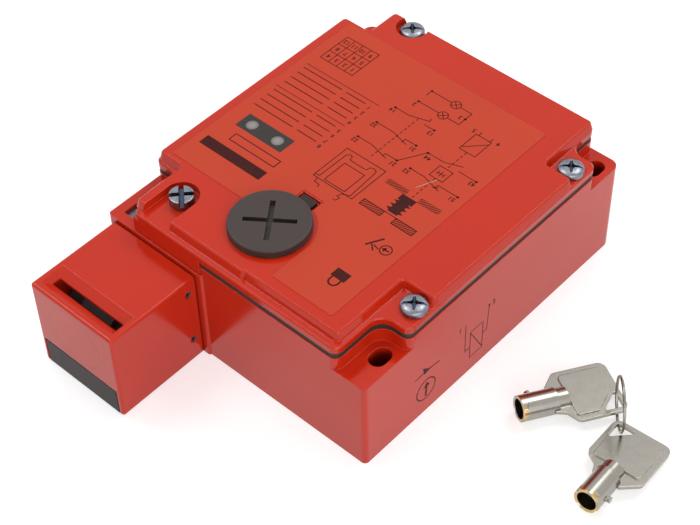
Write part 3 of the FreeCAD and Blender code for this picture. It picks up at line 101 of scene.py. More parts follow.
class InterlockColours(bpy.types.PropertyGroup):
    moulding: colour("Moulding", "Red of the housing, cover and head", (0.590, 0.023, 0.004))
    film: colour("Label film", "Orange red of the printed film", (0.560, 0.046, 0.013))
    ink: colour("Ink", "Dark ink of the label printing", (0.045, 0.006, 0.005))
    rubber: colour("Rubber", "Gasket and seals", (0.030, 0.022, 0.019))
    cap: colour("Cap", "Round cap over the release lock", (0.041, 0.026, 0.023))
    zinc: colour("Zinc", "Passivated screws", (0.248, 0.256, 0.294))
    nickel: colour("Nickel", "Keys and key ring", (0.335, 0.318, 0.282))
    brass: colour("Brass", "Lock and cut edges of the keys", (0.62, 0.40, 0.13))


class InterlockSizes(bpy.types.PropertyGroup):
    line: number("Line", "Width of the diagram's lines", 0.27 * MM, "LENGTH")
    rule: number("Rule", "Width of the blank fields' rules", 0.34 * MM, "LENGTH")
    ink_height: number("Ink height", "How far the printing stands on the film", 0.02 * MM, "LENGTH")
    numeral: number("Numeral", "Height of the terminal numbers", 2.2 * MM, "LENGTH")
    grain: number("Grain", "Size of the enamel's grain", 0.35 * MM, "LENGTH")


class InterlockStudio(bpy.types.PropertyGroup):
    key: number("Key lamp", "Power of the side soft box, in watts", 1.9)
    top: number("Top lamps", "Power of each overhead soft box, in watts", 1.9)
    sky: number("Room", "Strength of the room's even light", 0.45)
    floor: colour("Floor", "Pale floor", (0.68, 0.68, 0.68))


def palette():
    return bpy.context.scene.interlock_colours


def sizes():
    return bpy.context.scene.interlock_sizes


# ---------------------------------------------------------------- node tools
def add(tree, kind, **settings):
    node = tree.nodes.new(kind)
    for key, value in settings.items():
        setattr(node, key, value)
    return node


def feed(sockets):
    """Joins or sets sockets: {input: output or plain value}."""
    for target, source in sockets.items():
        if isinstance(source, bpy.types.NodeSocket):
            target.id_data.links.new(source, target)
        else:
            target.default_value = source


def new_group(name, inputs, outputs):
    """Node group that reads Position and named sockets: {name: (kind, default)}."""
    tree = bpy.data.node_groups.new(name, "ShaderNodeTree")
    for label, (kind, value) in {"Position": ("Vector", (0, 0, 0)), **inputs}.items():
        socket = tree.interface.new_socket(name=label, in_out="INPUT", socket_type="NodeSocket" + kind)
        socket.default_value = value
    for label, kind in outputs.items():
        tree.interface.new_socket(name=label, in_out="OUTPUT", socket_type="NodeSocket" + kind)
    return tree, add(tree, "NodeGroupInput").outputs, add(tree, "NodeGroupOutput").inputs


def joined(first, kind, sockets, **settings):
    """A new node in the tree of an output, with its inputs joined or set by name or number."""
    node = add(first.id_data, kind, **settings)
    feed({node.inputs[key]: value for key, value in sockets.items()})
    return node.outputs


def maths(operation, a, b=0.0):
    return joined(a, "ShaderNodeMath", {0: a, 1: b}, operation=operation)[0]


times, plus, minus, divided, higher, lower, magnitude, fraction = (
    partial(maths, operation) for operation in
    ("MULTIPLY", "ADD", "SUBTRACT", "DIVIDE", "MAXIMUM", "MINIMUM", "ABSOLUTE", "FRACT"))


def vector(operation, a, b=(0.0, 0.0, 0.0)):
    """Vector maths: the number that it gives, or else the vector."""
    gives = "Value" if operation in ("DOT_PRODUCT", "LENGTH", "DISTANCE") else "Vector"
    return joined(a, "ShaderNodeVectorMath", {0: a, 1: b}, operation=operation)[gives]


def axes(source):
    return joined(source, "ShaderNodeSeparateXYZ", {0: source})


def ramp(value, low, high, out_low=0.0, out_high=1.0):
    return joined(value, "ShaderNodeMapRange",
                  {"Value": value, "From Min": low, "From Max": high, "To Min": out_low,
                   "To Max": out_high}, interpolation_type="SMOOTHSTEP")["Result"]


def fall(value, low, high, top=1.0):
    """The ramp turned round: top up to low, and 0 from high on."""
    return ramp(value, low, high, top, 0.0)


def mix(share, a, b):
    return joined(share, "ShaderNodeMix", {"Factor": share, 6: a, 7: b}, data_type="RGBA")[2]


def over(tone, mask, share, three):
    """The tone, with so much of a colour laid over it where the mask is."""
    return mix(times(mask, share), tone, rgba(three))


def noise(where, scale, detail=3.0, roughness=0.5, distortion=0.0):
    return joined(where, "ShaderNodeTexNoise",
                  {"Vector": where, "Scale": scale, "Detail": detail, "Roughness": roughness,
                   "Distortion": distortion})["Fac"]


def spots(where, scale, randomness=1.0):
    return joined(where, "ShaderNodeTexVoronoi",
                  {"Vector": where, "Scale": scale, "Randomness": randomness}, feature="F1")


def bump(height, strength, distance, normal=None, **settings):
    under = {} if normal is None else {"Normal": normal}
    sockets = {"Height": height, "Strength": strength, "Distance": distance, **under}
    return joined(height, "ShaderNodeBump", sockets, **settings)[0]


def place(tree):
    return add(tree, "ShaderNodeTexCoord").outputs["Object"]


def facing_up(tree):
    return axes(add(tree, "ShaderNodeNewGeometry").outputs["Normal"])[2]


def rgba(three):
    return (*np.clip(three, 0.0, 1.0), 1.0)


# ---------------------------------------------------------------- shared effects
def group_skin():
    """Moulded skin: fine spark-eroded grain, slow flow marks, and a few dust specks."""
    tree, source, out = new_group(
        "moulded_skin", {"Grain": ("Float", 2800.0), "Flow": ("Float", 28.0)},
        {"Tone": "Float", "Height": "Float", "Specks": "Float"})
    where = source["Position"]
    grain = noise(where, source["Grain"], 2.0, 0.6)
    flow = noise(where, source["Flow"], 3.0, 0.55, 0.6)
    broad = noise(where, 9.0, 1.0)
    dots = spots(where, 190.0)
    rare = maths("GREATER_THAN", joined(where, "ShaderNodeSeparateColor", {0: dots["Color"]})[0], 0.955)
    feed({out["Tone"]: plus(times(flow, 0.6), times(broad, 0.4)),
          out["Height"]: plus(times(grain, 0.55), times(flow, 0.45)),
          out["Specks"]: times(fall(dots["Distance"], 0.03, 0.055), rare)})
    return tree


def group_edges():
    """Rounded edges: the mask is how far the rounded-over normal leans from the flat one. The finishes
    lay rubbed wear, dark cut edges and painted highlights on it.
    """
    tree, source, out = new_group(
        "worn_edges", {"Radius": ("Float", 0.00035), "Breakup": ("Float", 240.0)},
        {"Mask": "Float", "Normal": "Vector"})
    rounded = joined(source["Radius"], "ShaderNodeBevel", {"Radius": source["Radius"]}, samples=6)[0]
    flat = add(tree, "ShaderNodeNewGeometry").outputs["Normal"]
    lean = fall(vector("DOT_PRODUCT", rounded, flat), 0.86, 0.995)
    broken = ramp(noise(source["Position"], source["Breakup"]), 0.25, 0.7)
    feed({out["Mask"]: times(lean, broken), out["Normal"]: rounded})
    return tree


def group_streaks():
    """Drawn or plated metal: short streaks along X, clouding, and fine pits."""
    tree, source, out = new_group(
        "metal_streaks", {"Stretch": ("Vector", (120.0, 2400.0, 2400.0)), "Clouds": ("Float", 260.0)},
        {"Streak": "Float", "Cloud": "Float", "Pits": "Float"})
    where = source["Position"]
    stretched = vector("MULTIPLY", where, source["Stretch"])
    feed({out["Streak"]: noise(stretched, 1.0, 2.0),
          out["Cloud"]: noise(where, source["Clouds"], 4.0),
          out["Pits"]: ramp(noise(where, 3200.0, 1.0), 0.62, 0.74)})
    return tree


EFFECTS = {}


def effect(tree, kind, **values):
    """Places a shared effect in a material, reading the piece's own Object coordinates."""
    if kind not in EFFECTS:
        EFFECTS[kind] = kind()
    where = place(tree)
    return joined(where, "ShaderNodeGroup", {"Position": where, **values}, node_tree=EFFECTS[kind])


# ---------------------------------------------------------------- finishes
def new_finish(name, **settings):
    """Material with a Principled shader whose constants are set on its own sockets."""
    material = bpy.data.materials.new(name)
    material.use_nodes = True
    shader = material.node_tree.nodes["Principled BSDF"]
    for key, value in settings.items():
        shader.inputs[key.replace("_", " ")].default_value = value
    return material, material.node_tree, shader


def laid(made, tone, rough, relief, under=None, span=(0.3, 0.7)):
    """Feeds a finish: its tone, a roughness of (value, low, high) that rises over the value's
    span, and a relief of (height, strength, distance) on the normal under it."""
    material, _, shader = made
    value, low, high = rough
    feed({shader.inputs["Base Color"]: tone,
          shader.inputs["Roughness"]: ramp(value, *span, low, high),
          shader.inputs["Normal"]: bump(*relief, under)})
    return material


def moulded(name, base, rough, grain=2800.0, depth=0.00002, lightened=1.35, radius=0.00035, specks=0.5,
            cut_shade=None, **extra):
    """Moulded plastic: skin grain, slow colour drift, paler edges that are partly rubbed wear and
    partly a painted highlight, and a few pale specks. cut_shade gives the mask of cuts, grooves and
    gaps, sunk into the skin and darkened there as painted shade."""
    made = new_finish(name, **extra)
    tree = made[1]
    skin = effect(tree, group_skin, Grain=grain)
    edges = effect(tree, group_edges, Radius=radius)
    base = np.array(base)
    tone = mix(skin["Tone"], rgba(base * 0.90), rgba(base * 1.10))
    # Paler edges: partly rubbed wear, partly a painted highlight where light catches the rounded edge.
    tone = over(tone, edges["Mask"], 0.55, base * lightened + 0.11 * (lightened > 1))
    tone = over(tone, skin["Specks"], specks, base * 0.4 + 0.35)
    normal = edges["Normal"]
    if cut_shade:
        mask = cut_shade(tree)
        # Painted shade: the mask's cuts, grooves and gaps are darkened, and also sunk by the bump.
        tone = over(tone, mask, 0.5, base * 0.3)
        normal = bump(mask, 0.5, 0.00008, normal, invert=True)
    return laid(made, tone, (skin["Tone"], rough - 0.05, rough + 0.06),
                (skin["Height"], 0.35, depth), normal)


def plated(name, base, stretch, clouds, highlight_edge, span, shades):
    """Start of a metal: streaks, edges of (radius, breakup) for a painted highlight, and a tone that
    goes between two shades of the base with the clouding."""
    made = new_finish(name, Metallic=1.0)
    marks = effect(made[1], group_streaks, Stretch=stretch, Clouds=clouds)
    edges = effect(made[1], group_edges, Radius=highlight_edge[0], Breakup=highlight_edge[1])
    dull, clean = (rgba(base * shade) for shade in shades)
    return made, marks, edges, mix(ramp(marks["Cloud"], *span), dull, clean)


def metal(name, base, rough, stretch, stain=0.75):
    """Plated or drawn metal: streaks in its roughness, clouding in its colour, and edges brightened as
    a painted highlight.
    """
    base = np.array(base)
    made, marks, edges, tone = plated(name, base, stretch, 260.0, (0.0002, 900.0), (0.32, 0.66),
                                      (stain, 1.0))
    tone = over(tone, marks["Pits"], 0.35, base * 0.45)
    # Painted highlight: the edges are brightened.
    tone = over(tone, edges["Mask"], 0.6, base * 1.3)
    return laid(made, tone, (marks["Streak"], rough - 0.08, rough + 0.1),
                (marks["Streak"], 0.25, 0.00001), edges["Normal"])


def finish_paint(name="red_enamel", cut_shade=None):
    """Red enamel on cast metal: a thin glossy coat, grain, flow marks, rubbed edges with a painted
    highlight, and dust.
    """
    return moulded(name, palette().moulding, 0.13, grain=1.0 / sizes().grain, depth=0.000012,
                   lightened=1.2, radius=0.0003, specks=0.35, cut_shade=cut_shade, Specular_IOR_Level=0.32)


def finish_film():
    """Printed film: matt, with a fine orange peel and dark cut edges."""
    made = new_finish("label_film", Specular_IOR_Level=0.3)
    tree = made[1]
    skin = effect(tree, group_skin, Grain=1500.0, Flow=55.0)
    edges = effect(tree, group_edges, Radius=0.00006)
    base = np.array(palette().film)
    tone = mix(skin["Tone"], rgba(base * 0.93), rgba(base * 1.08))
    tone = over(tone, edges["Mask"], 0.5, base * 0.45)
    return laid(made, tone, (skin["Tone"], 0.40, 0.52), (skin["Height"], 0.3, 0.00001), edges["Normal"])


def finish_ink():
    """Screen-printed ink: dark, a little uneven where the film's texture shows through."""
    made = new_finish("label_ink", Specular_IOR_Level=0.12)
    tree = made[1]
    where = place(tree)
    broad = ramp(noise(where, 60.0, 2.0), 0.4, 0.7)
    base = np.array(palette().ink)
    tone = mix(broad, rgba(base), rgba(base * 1.5))
    lightened = ramp(noise(where, 1800.0, 3.0, 0.6), 0.55, 0.8)
    tone = over(tone, lightened, 0.5, np.array(palette().film) * 0.45)
    return laid(made, tone, (broad, 0.5, 0.62), (noise(where, 2600.0, 2.0), 0.2, 0.00001),
                span=(0.0, 1.0))


def recess_shade_by_height(tree, top, recess):
    """Mask of painted shade in a recess: what lies below the head's top and faces up, or is a wall."""
    height, up = axes(place(tree))[2], facing_up(tree)
    deep = fall(height, top - recess, top - recess * 0.35)
    return times(deep, higher(ramp(up, 0.75, 0.95), fall(up, -0.3, 0.25)))


def recess_shade_by_depth(tree):
    """Mask of painted shade in a recess: the depth that the turned screw's own mesh keeps at each
    point.
    """
    return add(tree, "ShaderNodeAttribute", attribute_name="recess").outputs["Fac"]


def finish_screw(name, recess):
    """Zinc-plated screw: blue-white, with edges brightened as a painted highlight and painted shade in
    the recess of its head.
    """
    base = np.array(palette().zinc)
    made, marks, edges, tone = plated(name, base, (1500.0, 1500.0, 300.0), 420.0, (0.00022, 1100.0),
                                      (0.35, 0.65), (0.8, 1.0))
    # Painted highlight on the edges.
    tone = over(tone, edges["Mask"], 0.5, base * 1.35)
    # Painted shade in the head's recess, a deep blue-grey.
    tone = over(tone, recess(made[1]), 0.92, base * np.array((0.22, 0.26, 0.36)))
    return laid(made, tone, (marks["Streak"], 0.24, 0.42), (marks["Cloud"], 0.3, 0.00003),
                edges["Normal"])


def finish_key(name, mouth, heading):
    """Nickel-plated key: lightly scuffed, with the brass bare in the cuts at its tube's mouth."""
    base = np.array(palette().nickel)
    made, marks, edges, tone = plated(name, base, (2600.0, 2400.0, 4200.0), 300.0, (0.00028, 700.0),
                                      (0.3, 0.7), (0.97, 1.02))
    from_mouth = vector("DOT_PRODUCT", vector("SUBTRACT", place(made[1]), mouth), heading)
    bare = times(fall(from_mouth, 0.0004, 0.0021), ramp(marks["Cloud"], 0.42, 0.56))
    tone = over(tone, bare, 0.9, palette().brass)
    tone = over(tone, marks["Pits"], 0.12, base * 0.5)
    # Painted highlight: the edges are brightened well past the nickel.
    tone = over(tone, edges["Mask"], 0.6, base * 2.1)
    return laid(made, tone, (marks["Streak"], 0.19, 0.25), (marks["Streak"], 0.1, 0.000003),
                edges["Normal"])


def finish_lens():
    """Lamp lens: smoky plastic, painted lighter towards each lens's middle and darker at its rim as the
    shading of a dome.
    """
    made = new_finish("lamp_lens", Specular_IOR_Level=0.6, Coat_Weight=0.4, Coat_Roughness=0.12)
    tree = made[1]
    skin = effect(tree, group_skin, Grain=1200.0, Flow=300.0)
    edges = effect(tree, group_edges, Radius=0.00025)
    left, right = (vector("DISTANCE", place(tree), (x, LENS_Y, LENS_HIGH.z)) for x in LENS_X)
    # Painted shading of a dome: lighter towards each lens's middle, darker at its rim; the same ramp
    # bumps the normal.
    dome_shading = fall(lower(left, right), 0.0003, 0.8 * LENS_R)
    tone = mix(dome_shading, (0.085, 0.066, 0.062, 1.0), (0.29, 0.26, 0.25, 1.0))
    tone = over(tone, skin["Tone"], 0.3, (0.20, 0.17, 0.155))
    return laid(made, tone, (skin["Tone"], 0.28, 0.4), (dome_shading, 0.6, 0.0004), edges["Normal"])


def finish_board():
    """Circuit board: green lacquer over copper tracks on a square grid, with bare pads."""
    made = new_finish("lamp_board", Specular_IOR_Level=0.55)
    tree = made[1]
    where = place(tree)
    tracks = joined(where, "ShaderNodeTexBrick",
                    {"Vector": where, "Scale": 420.0, "Mortar Size": 0.035,
                     "Color1": (0.012, 0.10, 0.035, 1.0), "Color2": (0.016, 0.13, 0.05, 1.0),
                     "Mortar": (0.035, 0.22, 0.08, 1.0)}, offset=0.5)
    pad = fall(spots(where, 420.0, 0.2)["Distance"], 0.17, 0.2)
    feed({made[2].inputs["Metallic"]: times(pad, 0.85)})
    return laid(made, mix(pad, tracks["Color"], (0.62, 0.58, 0.50, 1.0)),
                (noise(where, 500.0), 0.25, 0.4), (tracks["Fac"], 0.4, 0.00003))


def finish_winding(low, high):
    """Solenoid winding: lapped tape round the coil's axis, with the wire's turns showing through."""
    made = new_finish("winding_tape", Specular_IOR_Level=0.5)
    tree = made[1]
    where = place(tree)
    shift = minus(axes(where)[0], (low.x + high.x) / 2)
    turns = maths("SINE", times(shift, 2 * math.pi / COIL_WIRE))
    lap_edge = fall(fraction(divided(shift, COIL_LAP)), 0.0, 0.07)
    cloud = noise(where, 220.0)
    tone = mix(cloud, (0.30, 0.17, 0.030, 1.0), (0.42, 0.25, 0.05, 1.0))
    tone = over(tone, lap_edge, 0.6, (0.14, 0.07, 0.012))
    return laid(made, tone, (cloud, 0.26, 0.4),
                (plus(times(turns, 0.3), lap_edge), 0.5, 0.00005))


def from_axis(tree, point):
    """Distance from the line along Y through the point, and the three steps from the point."""
    off = vector("SUBTRACT", place(tree), point)
    return vector("LENGTH", vector("MULTIPLY", off, (1.0, 0.0, 1.0))), axes(off)


def head_groove_and_joint_shade(tree):
    """Mask of a thin circle on the head's end face, where a point's distance from the circle's
    middle along the face is near its radius, and of the joint along the head's back edge: painted shade
    in the groove and between head and body."""
    reach, (_, y, _) = from_axis(tree, HEAD_CIRCLE)
    circle = times(fall(magnitude(minus(reach, HEAD_CIRCLE_R)), 0.00005, 0.00014),
                   ramp(y, -0.0006, -0.0003))
    # Painted shade along the head's back edge, where it meets the body.
    back = HEAD_LOW.y - HEAD_HIGH.y
    return higher(circle, fall(y, back + 0.0003, back + 0.0004, 1.8))


def entry_thread(tree, entry):
    """Mask of one cable entry's thread: stripes a pitch apart along the bore, slanted by one
    pitch a turn, on what lies within the thread's reach of the bore's axis."""
    reach, (x, y, z) = from_axis(tree, entry)
    turn = divided(maths("ARCTAN2", z, x), 2 * math.pi)
    phase = fraction(plus(divided(y, ENTRY_PITCH), turn))
    valley = fall(magnitude(minus(phase, 0.5)), 0.1, 0.32)
    bore = times(ramp(y, 0.0004, 0.0008), fall(y, ENTRY_END, ENTRY_END + 0.0004))
    return times(valley, times(fall(reach, ENTRY_REACH, ENTRY_REACH + 0.0002), bore))


def thread_and_slot_shade(tree):
    """The entries' thread valleys, and the inside of the four fixing slots, both darkened as painted
    shade: what lies below a slot's mouth and within its rounded outline, where X and Y are measured
    without their signs."""
    dims = FIXINGS["dims"]
    radius, length = dims["hole_r_mm"] * MM, dims["slot_length_mm"] * MM
    x, y, z = axes(place(tree))
    along = minus(magnitude(y), dims["spacing_y_mm"] / 2 * MM)
    across = minus(magnitude(x), abs(FIXINGS["pos_m"][0]))
    past = higher(minus(magnitude(along), length / 2 - radius), 0.0)
    reach = maths("SQRT", plus(times(past, past), times(across, across)))
    mouth = 2 * FIXINGS["pos_m"][2]
    # Painted shade inside the fixing slots, full below the mouth.
    slots = times(fall(reach, radius + 0.0001, radius + 0.0003, 1.8),
                  fall(z, mouth - SLOT_SHADE_FULL, mouth - 0.0003))
    return reduce(higher, [*(entry_thread(tree, entry) for entry in ENTRIES), slots])


def cap_cross_shade(tree):
    """Mask of the cross slots in the cap, darkened as painted shade: what faces up below its top."""
    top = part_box("unlock_cap")[1].z
    return times(fall(axes(place(tree))[2], top - 0.0006, top - 0.0002, 1.8),
                 ramp(facing_up(tree), 0.75, 0.95))


def dress(nodes, material):
    """Gives CAD nodes a finish in their material slots; their meshes stay as they are."""
    for name in nodes:
        piece = frame["nodes"][name]
        if not piece.material_slots:
            piece.data.materials.append(material)
        for slot in piece.material_slots:
            slot.material = material


# ---------------------------------------------------------------- new pieces
def new_piece(name, points, faces, material):
    """Object at the origin, with the points in metres."""
    mesh = bpy.data.meshes.new(name)
    mesh.from_pydata(points.tolist(), [], faces)
    mesh.materials.append(material)
    piece = bpy.data.objects.new(name, mesh)
    bpy.context.scene.collection.objects.link(piece)
    return piece


def settle(piece, node=None):
    """A new piece rides on the housing, and may stand for a CAD node."""
    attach(piece, "housing")
    if node:
        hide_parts(node)


def band(first, rings, around):
    """Quads between neighbouring rings of points, of which the first starts at index first."""
    i = np.arange(around)
    j = (i + 1) % around
    row = first + np.arange(rings - 1)[:, None] * around
    return np.stack([row + i, row + i + around, row + j + around, row + j], -1).reshape(-1, 4)


def fan(pole, first, around):
    """Triangles from a pole to the ring of points that starts at index first."""
    i = np.arange(around)
    return np.column_stack([np.full(around, pole), first + i, first + (i + 1) % around])


def flipped(faces):
    return np.roll(faces[:, ::-1], 1, axis=1)


def around_ring(count):
    """Points at even angles on a circle of radius 1."""
    turn = np.linspace(0, 2 * math.pi, count, endpoint=False)
    return np.column_stack([np.cos(turn), np.sin(turn)])


def coordinates(mesh):
    flat = np.empty(len(mesh.vertices) * 3)
    mesh.vertices.foreach_get("co", flat)
    return flat.reshape(-1, 3)


def smooth(value):
    """0 below 0, 1 above 1, and three squares less two cubes between."""
    t = np.clip(value, 0.0, 1.0)
    return t * t * (3 - 2 * t)


def pan_recess(u, v):
    """A slot right across the head, and a cross whose four arms get shallower outwards."""
    u, v = np.abs(u), np.abs(v)
    slot = 0.75 * smooth((0.52 - v) / 0.16)
    arm_u = smooth((0.62 - v - 0.10 * u) / 0.2) * (1 - np.clip(u / 2.9, 0, 1) ** 2)
    arm_v = smooth((0.62 - u - 0.10 * v) / 0.2) * (1 - np.clip(v / 2.7, 0, 1) ** 2)
    middle = smooth((1.55 - u - v) / 0.3)
    return np.maximum(slot, 1.5 * np.maximum(np.maximum(arm_u, arm_v), middle))


def cheese_recess(u, v):
    """Two slots of even width that cross and run out through the rim."""
    return 1.7 * np.maximum(smooth((0.74 - np.abs(v)) / 0.1), smooth((0.74 - np.abs(u)) / 0.1))


def turned_screw(centre, top, seat, tip, head_r, crown, edge, recess, turn, around=96):
    """Screw in millimetres, as rings from the crown's middle to the tip's. The crown is a
    superellipse of exponent crown over the head's last edge millimetres; the recess is taken
    from its height; the shank's radius rises and falls once a pitch along a helix."""
    bow = np.sin(np.linspace(0, math.pi / 2, 64)[1:])
    rings = int((seat - tip) / SCREW_PITCH * 7)
    radius = np.concatenate([head_r * bow, np.full(6, head_r),
                             np.linspace(head_r - 0.15, SCREW_R + 0.1, 5),
                             np.full(rings, SCREW_R), [SCREW_R * 0.72]])[:, None]
    height = np.concatenate([top - edge + edge * np.maximum(1 - bow ** crown, 0) ** (1 / crown),
                             np.linspace(top - edge, seat + 0.15, 7)[1:], np.full(5, seat),
                             np.linspace(seat - 0.05, tip + 0.5, rings), [tip]])[:, None]
    phi = np.linspace(0, 2 * math.pi, around, endpoint=False)[None, :]
    wave = np.abs(2 * np.mod(height / SCREW_PITCH - phi / (2 * math.pi), 1.0) - 1)
    threaded = smooth((seat - 1.0 - height) / 0.8) * (radius > SCREW_R * 0.9)
    radius = radius - 0.42 * threaded * (1 - wave) * (radius < SCREW_R * 1.01)
    x, y = radius * np.cos(phi), radius * np.sin(phi)
    c, s = math.cos(turn), math.sin(turn)
    floor = np.maximum(top - recess(x * c + y * s, y * c - x * s), seat + 0.12)
    z = np.where(height > seat + 0.1, np.minimum(height, floor), height)
    # Painted shade in the head's recess: how deep each point lies below the crown.
    dark = np.where(height > seat + 0.1, smooth((height - z) / 0.35), 0.0)
    middle = top - recess(np.zeros(1), np.zeros(1))[0]
    points = np.concatenate([[(0, 0, middle)], np.stack([x, y, z], -1).reshape(-1, 3), [(0, 0, tip)]])
    n = len(radius)
    faces = [fan(0, 1, around), band(1, n, around),
             flipped(fan(len(points) - 1, 1 + (n - 1) * around, around))]
    return (points + (*centre, 0.0)) * MM, faces, np.concatenate([[1.0], dark.ravel(), [0.0]])


def screw_piece(name, node, screws, material):
    """Joins turned screws into one piece that stands for the CAD node."""
    faces, count = [], 0
    for points, groups, _ in screws:
        for group in groups:
            faces += (group + count).tolist()
        count += len(points)
    piece = new_piece(name, np.concatenate([points for points, _, _ in screws]), faces, material)
    # The recess attribute carries the painted shade in each screw's recess.
    deep = piece.data.attributes.new("recess", "FLOAT", "POINT")
    deep.data.foreach_set("value", np.concatenate([dark for _, _, dark in screws]))
    piece.data.shade_smooth()
    piece.data.set_sharp_from_angle(angle=math.radians(38))
    settle(piece, node)


def screw_centres(node):
    """Middles of the screws in a node: its points parted by the signs of their X and Y."""
    points = coordinates(frame["nodes"][node].data) / MM
    corner = (points[:, 0] > 0) * 2 + (points[:, 1] > 0)
    groups = [points[corner == k] for k in np.unique(corner)]
    return [(group.min(axis=0)[:2] + group.max(axis=0)[:2]) / 2 for group in groups]


def coil_spring(start, along, side, length, reach, wire, around=14, steps=44):
    """Round wire wound on a helix: the middle line goes once round the axis a turn at even rise,
    and each ring of the wire stands square to it. Poles close both ends."""
    t = np.linspace(0, 1, int(SPRING_TURNS * steps))[:, None]
    turn = 2 * math.pi * SPRING_TURNS * t
    third = np.cross(along, side)
    out = np.cos(turn) * side + np.sin(turn) * third
    middle = np.array(start) + reach * out + length * t * along
    tangent = (reach * 2 * math.pi * SPRING_TURNS * (-np.sin(turn) * side + np.cos(turn) * third)
               + length * along)
    tangent /= np.linalg.norm(tangent, axis=1)[:, None]
    across = np.cross(tangent, out)
    circle = wire * around_ring(around)
    rings = middle[:, None] + circle[:, :1] * out[:, None] + circle[:, 1:] * across[:, None]
    n = len(t)
    faces = [flipped(band(0, n, around)), flipped(fan(n * around, 0, around)),
             fan(n * around + 1, (n - 1) * around, around)]
    return (np.concatenate([rings.reshape(-1, 3), middle[:1], middle[-1:]]),
            [face for group in faces for face in group.tolist()])


# ---------------------------------------------------------------- printing
class Print:
    """Collects flat-topped strokes, patches and glyphs in a plane, in millimetres, then makes
    one closed mesh."""

    def __init__(self, height):
        self.height = height / MM
        self.points, self.faces, self.count = [], [], 0

    def slab(self, ring, faces):
        """Points of a flat outline, on the plane and again at the ink's height."""
        for height in (0.0, self.height):
            self.points.append(np.column_stack([ring, np.full(len(ring), height)]))
        self.faces += [[k + self.count for k in face] for face in faces]
        self.count += 2 * len(ring)

    def prism(self, outline):
        """A patch: the outline (n, 2), anticlockwise, lifted to a closed slab."""
        ring = np.asarray(outline, float)
        area = np.sum(ring[:, 0] * np.roll(ring[:, 1], -1) - np.roll(ring[:, 0], -1) * ring[:, 1])
        ring = ring if area > 0 else ring[::-1]
        i = np.arange(len(ring))
        j = (i + 1) % len(ring)
        sides = np.column_stack([i, j, j + len(ring), i + len(ring)])
        self.slab(ring, [list(i[::-1]), list(i + len(ring))] + sides.tolist())

    def stroke(self, points, width, closed=False):
        """A line of even width: at each point the edge lies half a width out along the mitre of
        the two runs that meet there."""
        line = np.asarray(points, float)
        runs = np.roll(line, -1, axis=0) - line
        runs /= np.linalg.norm(runs, axis=1)[:, None]
        before = np.roll(runs, 1, axis=0)
        if not closed:
            runs[-1] = runs[-2]
            before[0] = runs[0]
        normal = np.column_stack([-(runs + before)[:, 1], (runs + before)[:, 0]])
        normal /= np.linalg.norm(normal, axis=1)[:, None]
        own = np.column_stack([-runs[:, 1], runs[:, 0]])
        reach = (width / 2 / np.clip(np.sum(normal * own, axis=1), 0.35, 1.0))[:, None]
        n = len(line)
        a = np.arange(n if closed else n - 1)
        b = (a + 1) % n
        c, d, up = b + n, a + n, 2 * n
        faces = [(d + up, c + up, b + up, a + up), (a, b, c, d), (a, a + up, b + up, b),
                 (c, c + up, d + up, d)]
        faces = np.concatenate([np.column_stack(face) for face in faces]).tolist()
        if not closed:
            faces += [[n, n + up, up, 0], [n - 1, n - 1 + up, up + up - 1, up - 1]]
        self.slab(np.concatenate([line + normal * reach, line - normal * reach]), faces)

    def strokes(self, width, *lines):
        """Several open lines of one width."""
        for line in lines:
            self.stroke(line, width)

    def box(self, x0, y0, x1, y1, width):
        """A closed rectangle between two corners."""
        self.stroke([(x0, y0), (x1, y0), (x1, y1), (x0, y1)], width, True)

    def dashes(self, start, end, width, dash=1.1, gap=0.7):
        """A dashed line: even dashes stepped from start to end."""
        start, end = np.array(start, float), np.array(end, float)
        span = np.linalg.norm(end - start)
        way = (end - start) / span
        for at in np.arange(0.0, span - dash * 0.5, dash + gap):
            self.stroke([start + way * at, start + way * min(at + dash, span)], width)

    def ring(self, centre, radius, width, count=28):
        """A circle: its points stand at even angles round the centre."""
        self.stroke(np.array(centre) + radius * around_ring(count), width, True)

    def dot(self, centre, radius):
        """A filled circle of sixteen points at even angles."""
        self.prism(np.array(centre) + radius * around_ring(16))

    def hatched(self, x0, x1, y0, y1, width, pitch=0.75, lean=1.3):
        """A hatched block: slanting strokes at an even pitch, cut off at the block's two ends."""
        rise = (y1 - y0) / lean
        for x in np.arange(x0 - lean, x1, pitch):
            low, high = max(x, x0), min(x + lean, x1)
            if high - low > 0.1:
                self.stroke([(low, y0 + rise * (low - x)), (high, y0 + rise * (high - x))], width)

    def text(self, words, at, size):
        """Plain numerals: a text curve made a mesh and set at its place."""
        curve = bpy.data.curves.new("numeral", "FONT")
        curve.body = words
        curve.size = size
        curve.offset = size * 0.018
        curve.align_x = curve.align_y = "CENTER"
        curve.extrude = self.height / 2
        curve.resolution_u = 3
        holder = bpy.data.objects.new("numeral", curve)
        mesh = bpy.data.meshes.new_from_object(holder)
        moved = coordinates(mesh) + (*at, self.height / 2)
        self.points.append(moved)
        self.faces += [[v + self.count for v in face.vertices] for face in mesh.polygons]
        self.count += len(moved)
        bpy.data.objects.remove(holder)
        bpy.data.curves.remove(curve)
        bpy.data.meshes.remove(mesh)

    def make(self, name, material, origin=(0.0, 0.0, LABEL_TOP), across=(1, 0, 0),
             up=(0, 1, 0)):
        """One mesh from all that was printed: across and up from the origin, on the film at first."""
        flat = np.concatenate(self.points) * MM
        plane = np.array([across, up, np.cross(across, up)], float)
        piece = new_piece(name, np.array(origin) + flat @ plane, self.faces, material)
        piece.data.validate()
        settle(piece)


CONTACT_NUMBERS = {"14": (8.7, -18.3), "13": (-6.2, -17.9), "32": (8.7, -9.9), "31": (-6.4, -9.6),
                   "22": (8.7, -1.6), "21": (-6.1, -1.3), "44": (-12.2, -9.5), "43": (-28.4, -9.7),
                   "52": (-11.0, -1.5), "51": (-27.9, -1.4), "1": (5.4, -30.7), "2": (5.6, -24.5),
                   "3": (-8.4, -28.9), "4": (-24.0, -27.2), "5": (-15.0, -27.2)}


def draw_numbers(ink, size):
    """The numbers beside the contacts."""
    for words, at in CONTACT_NUMBERS.items():
        ink.text(words, at, size)


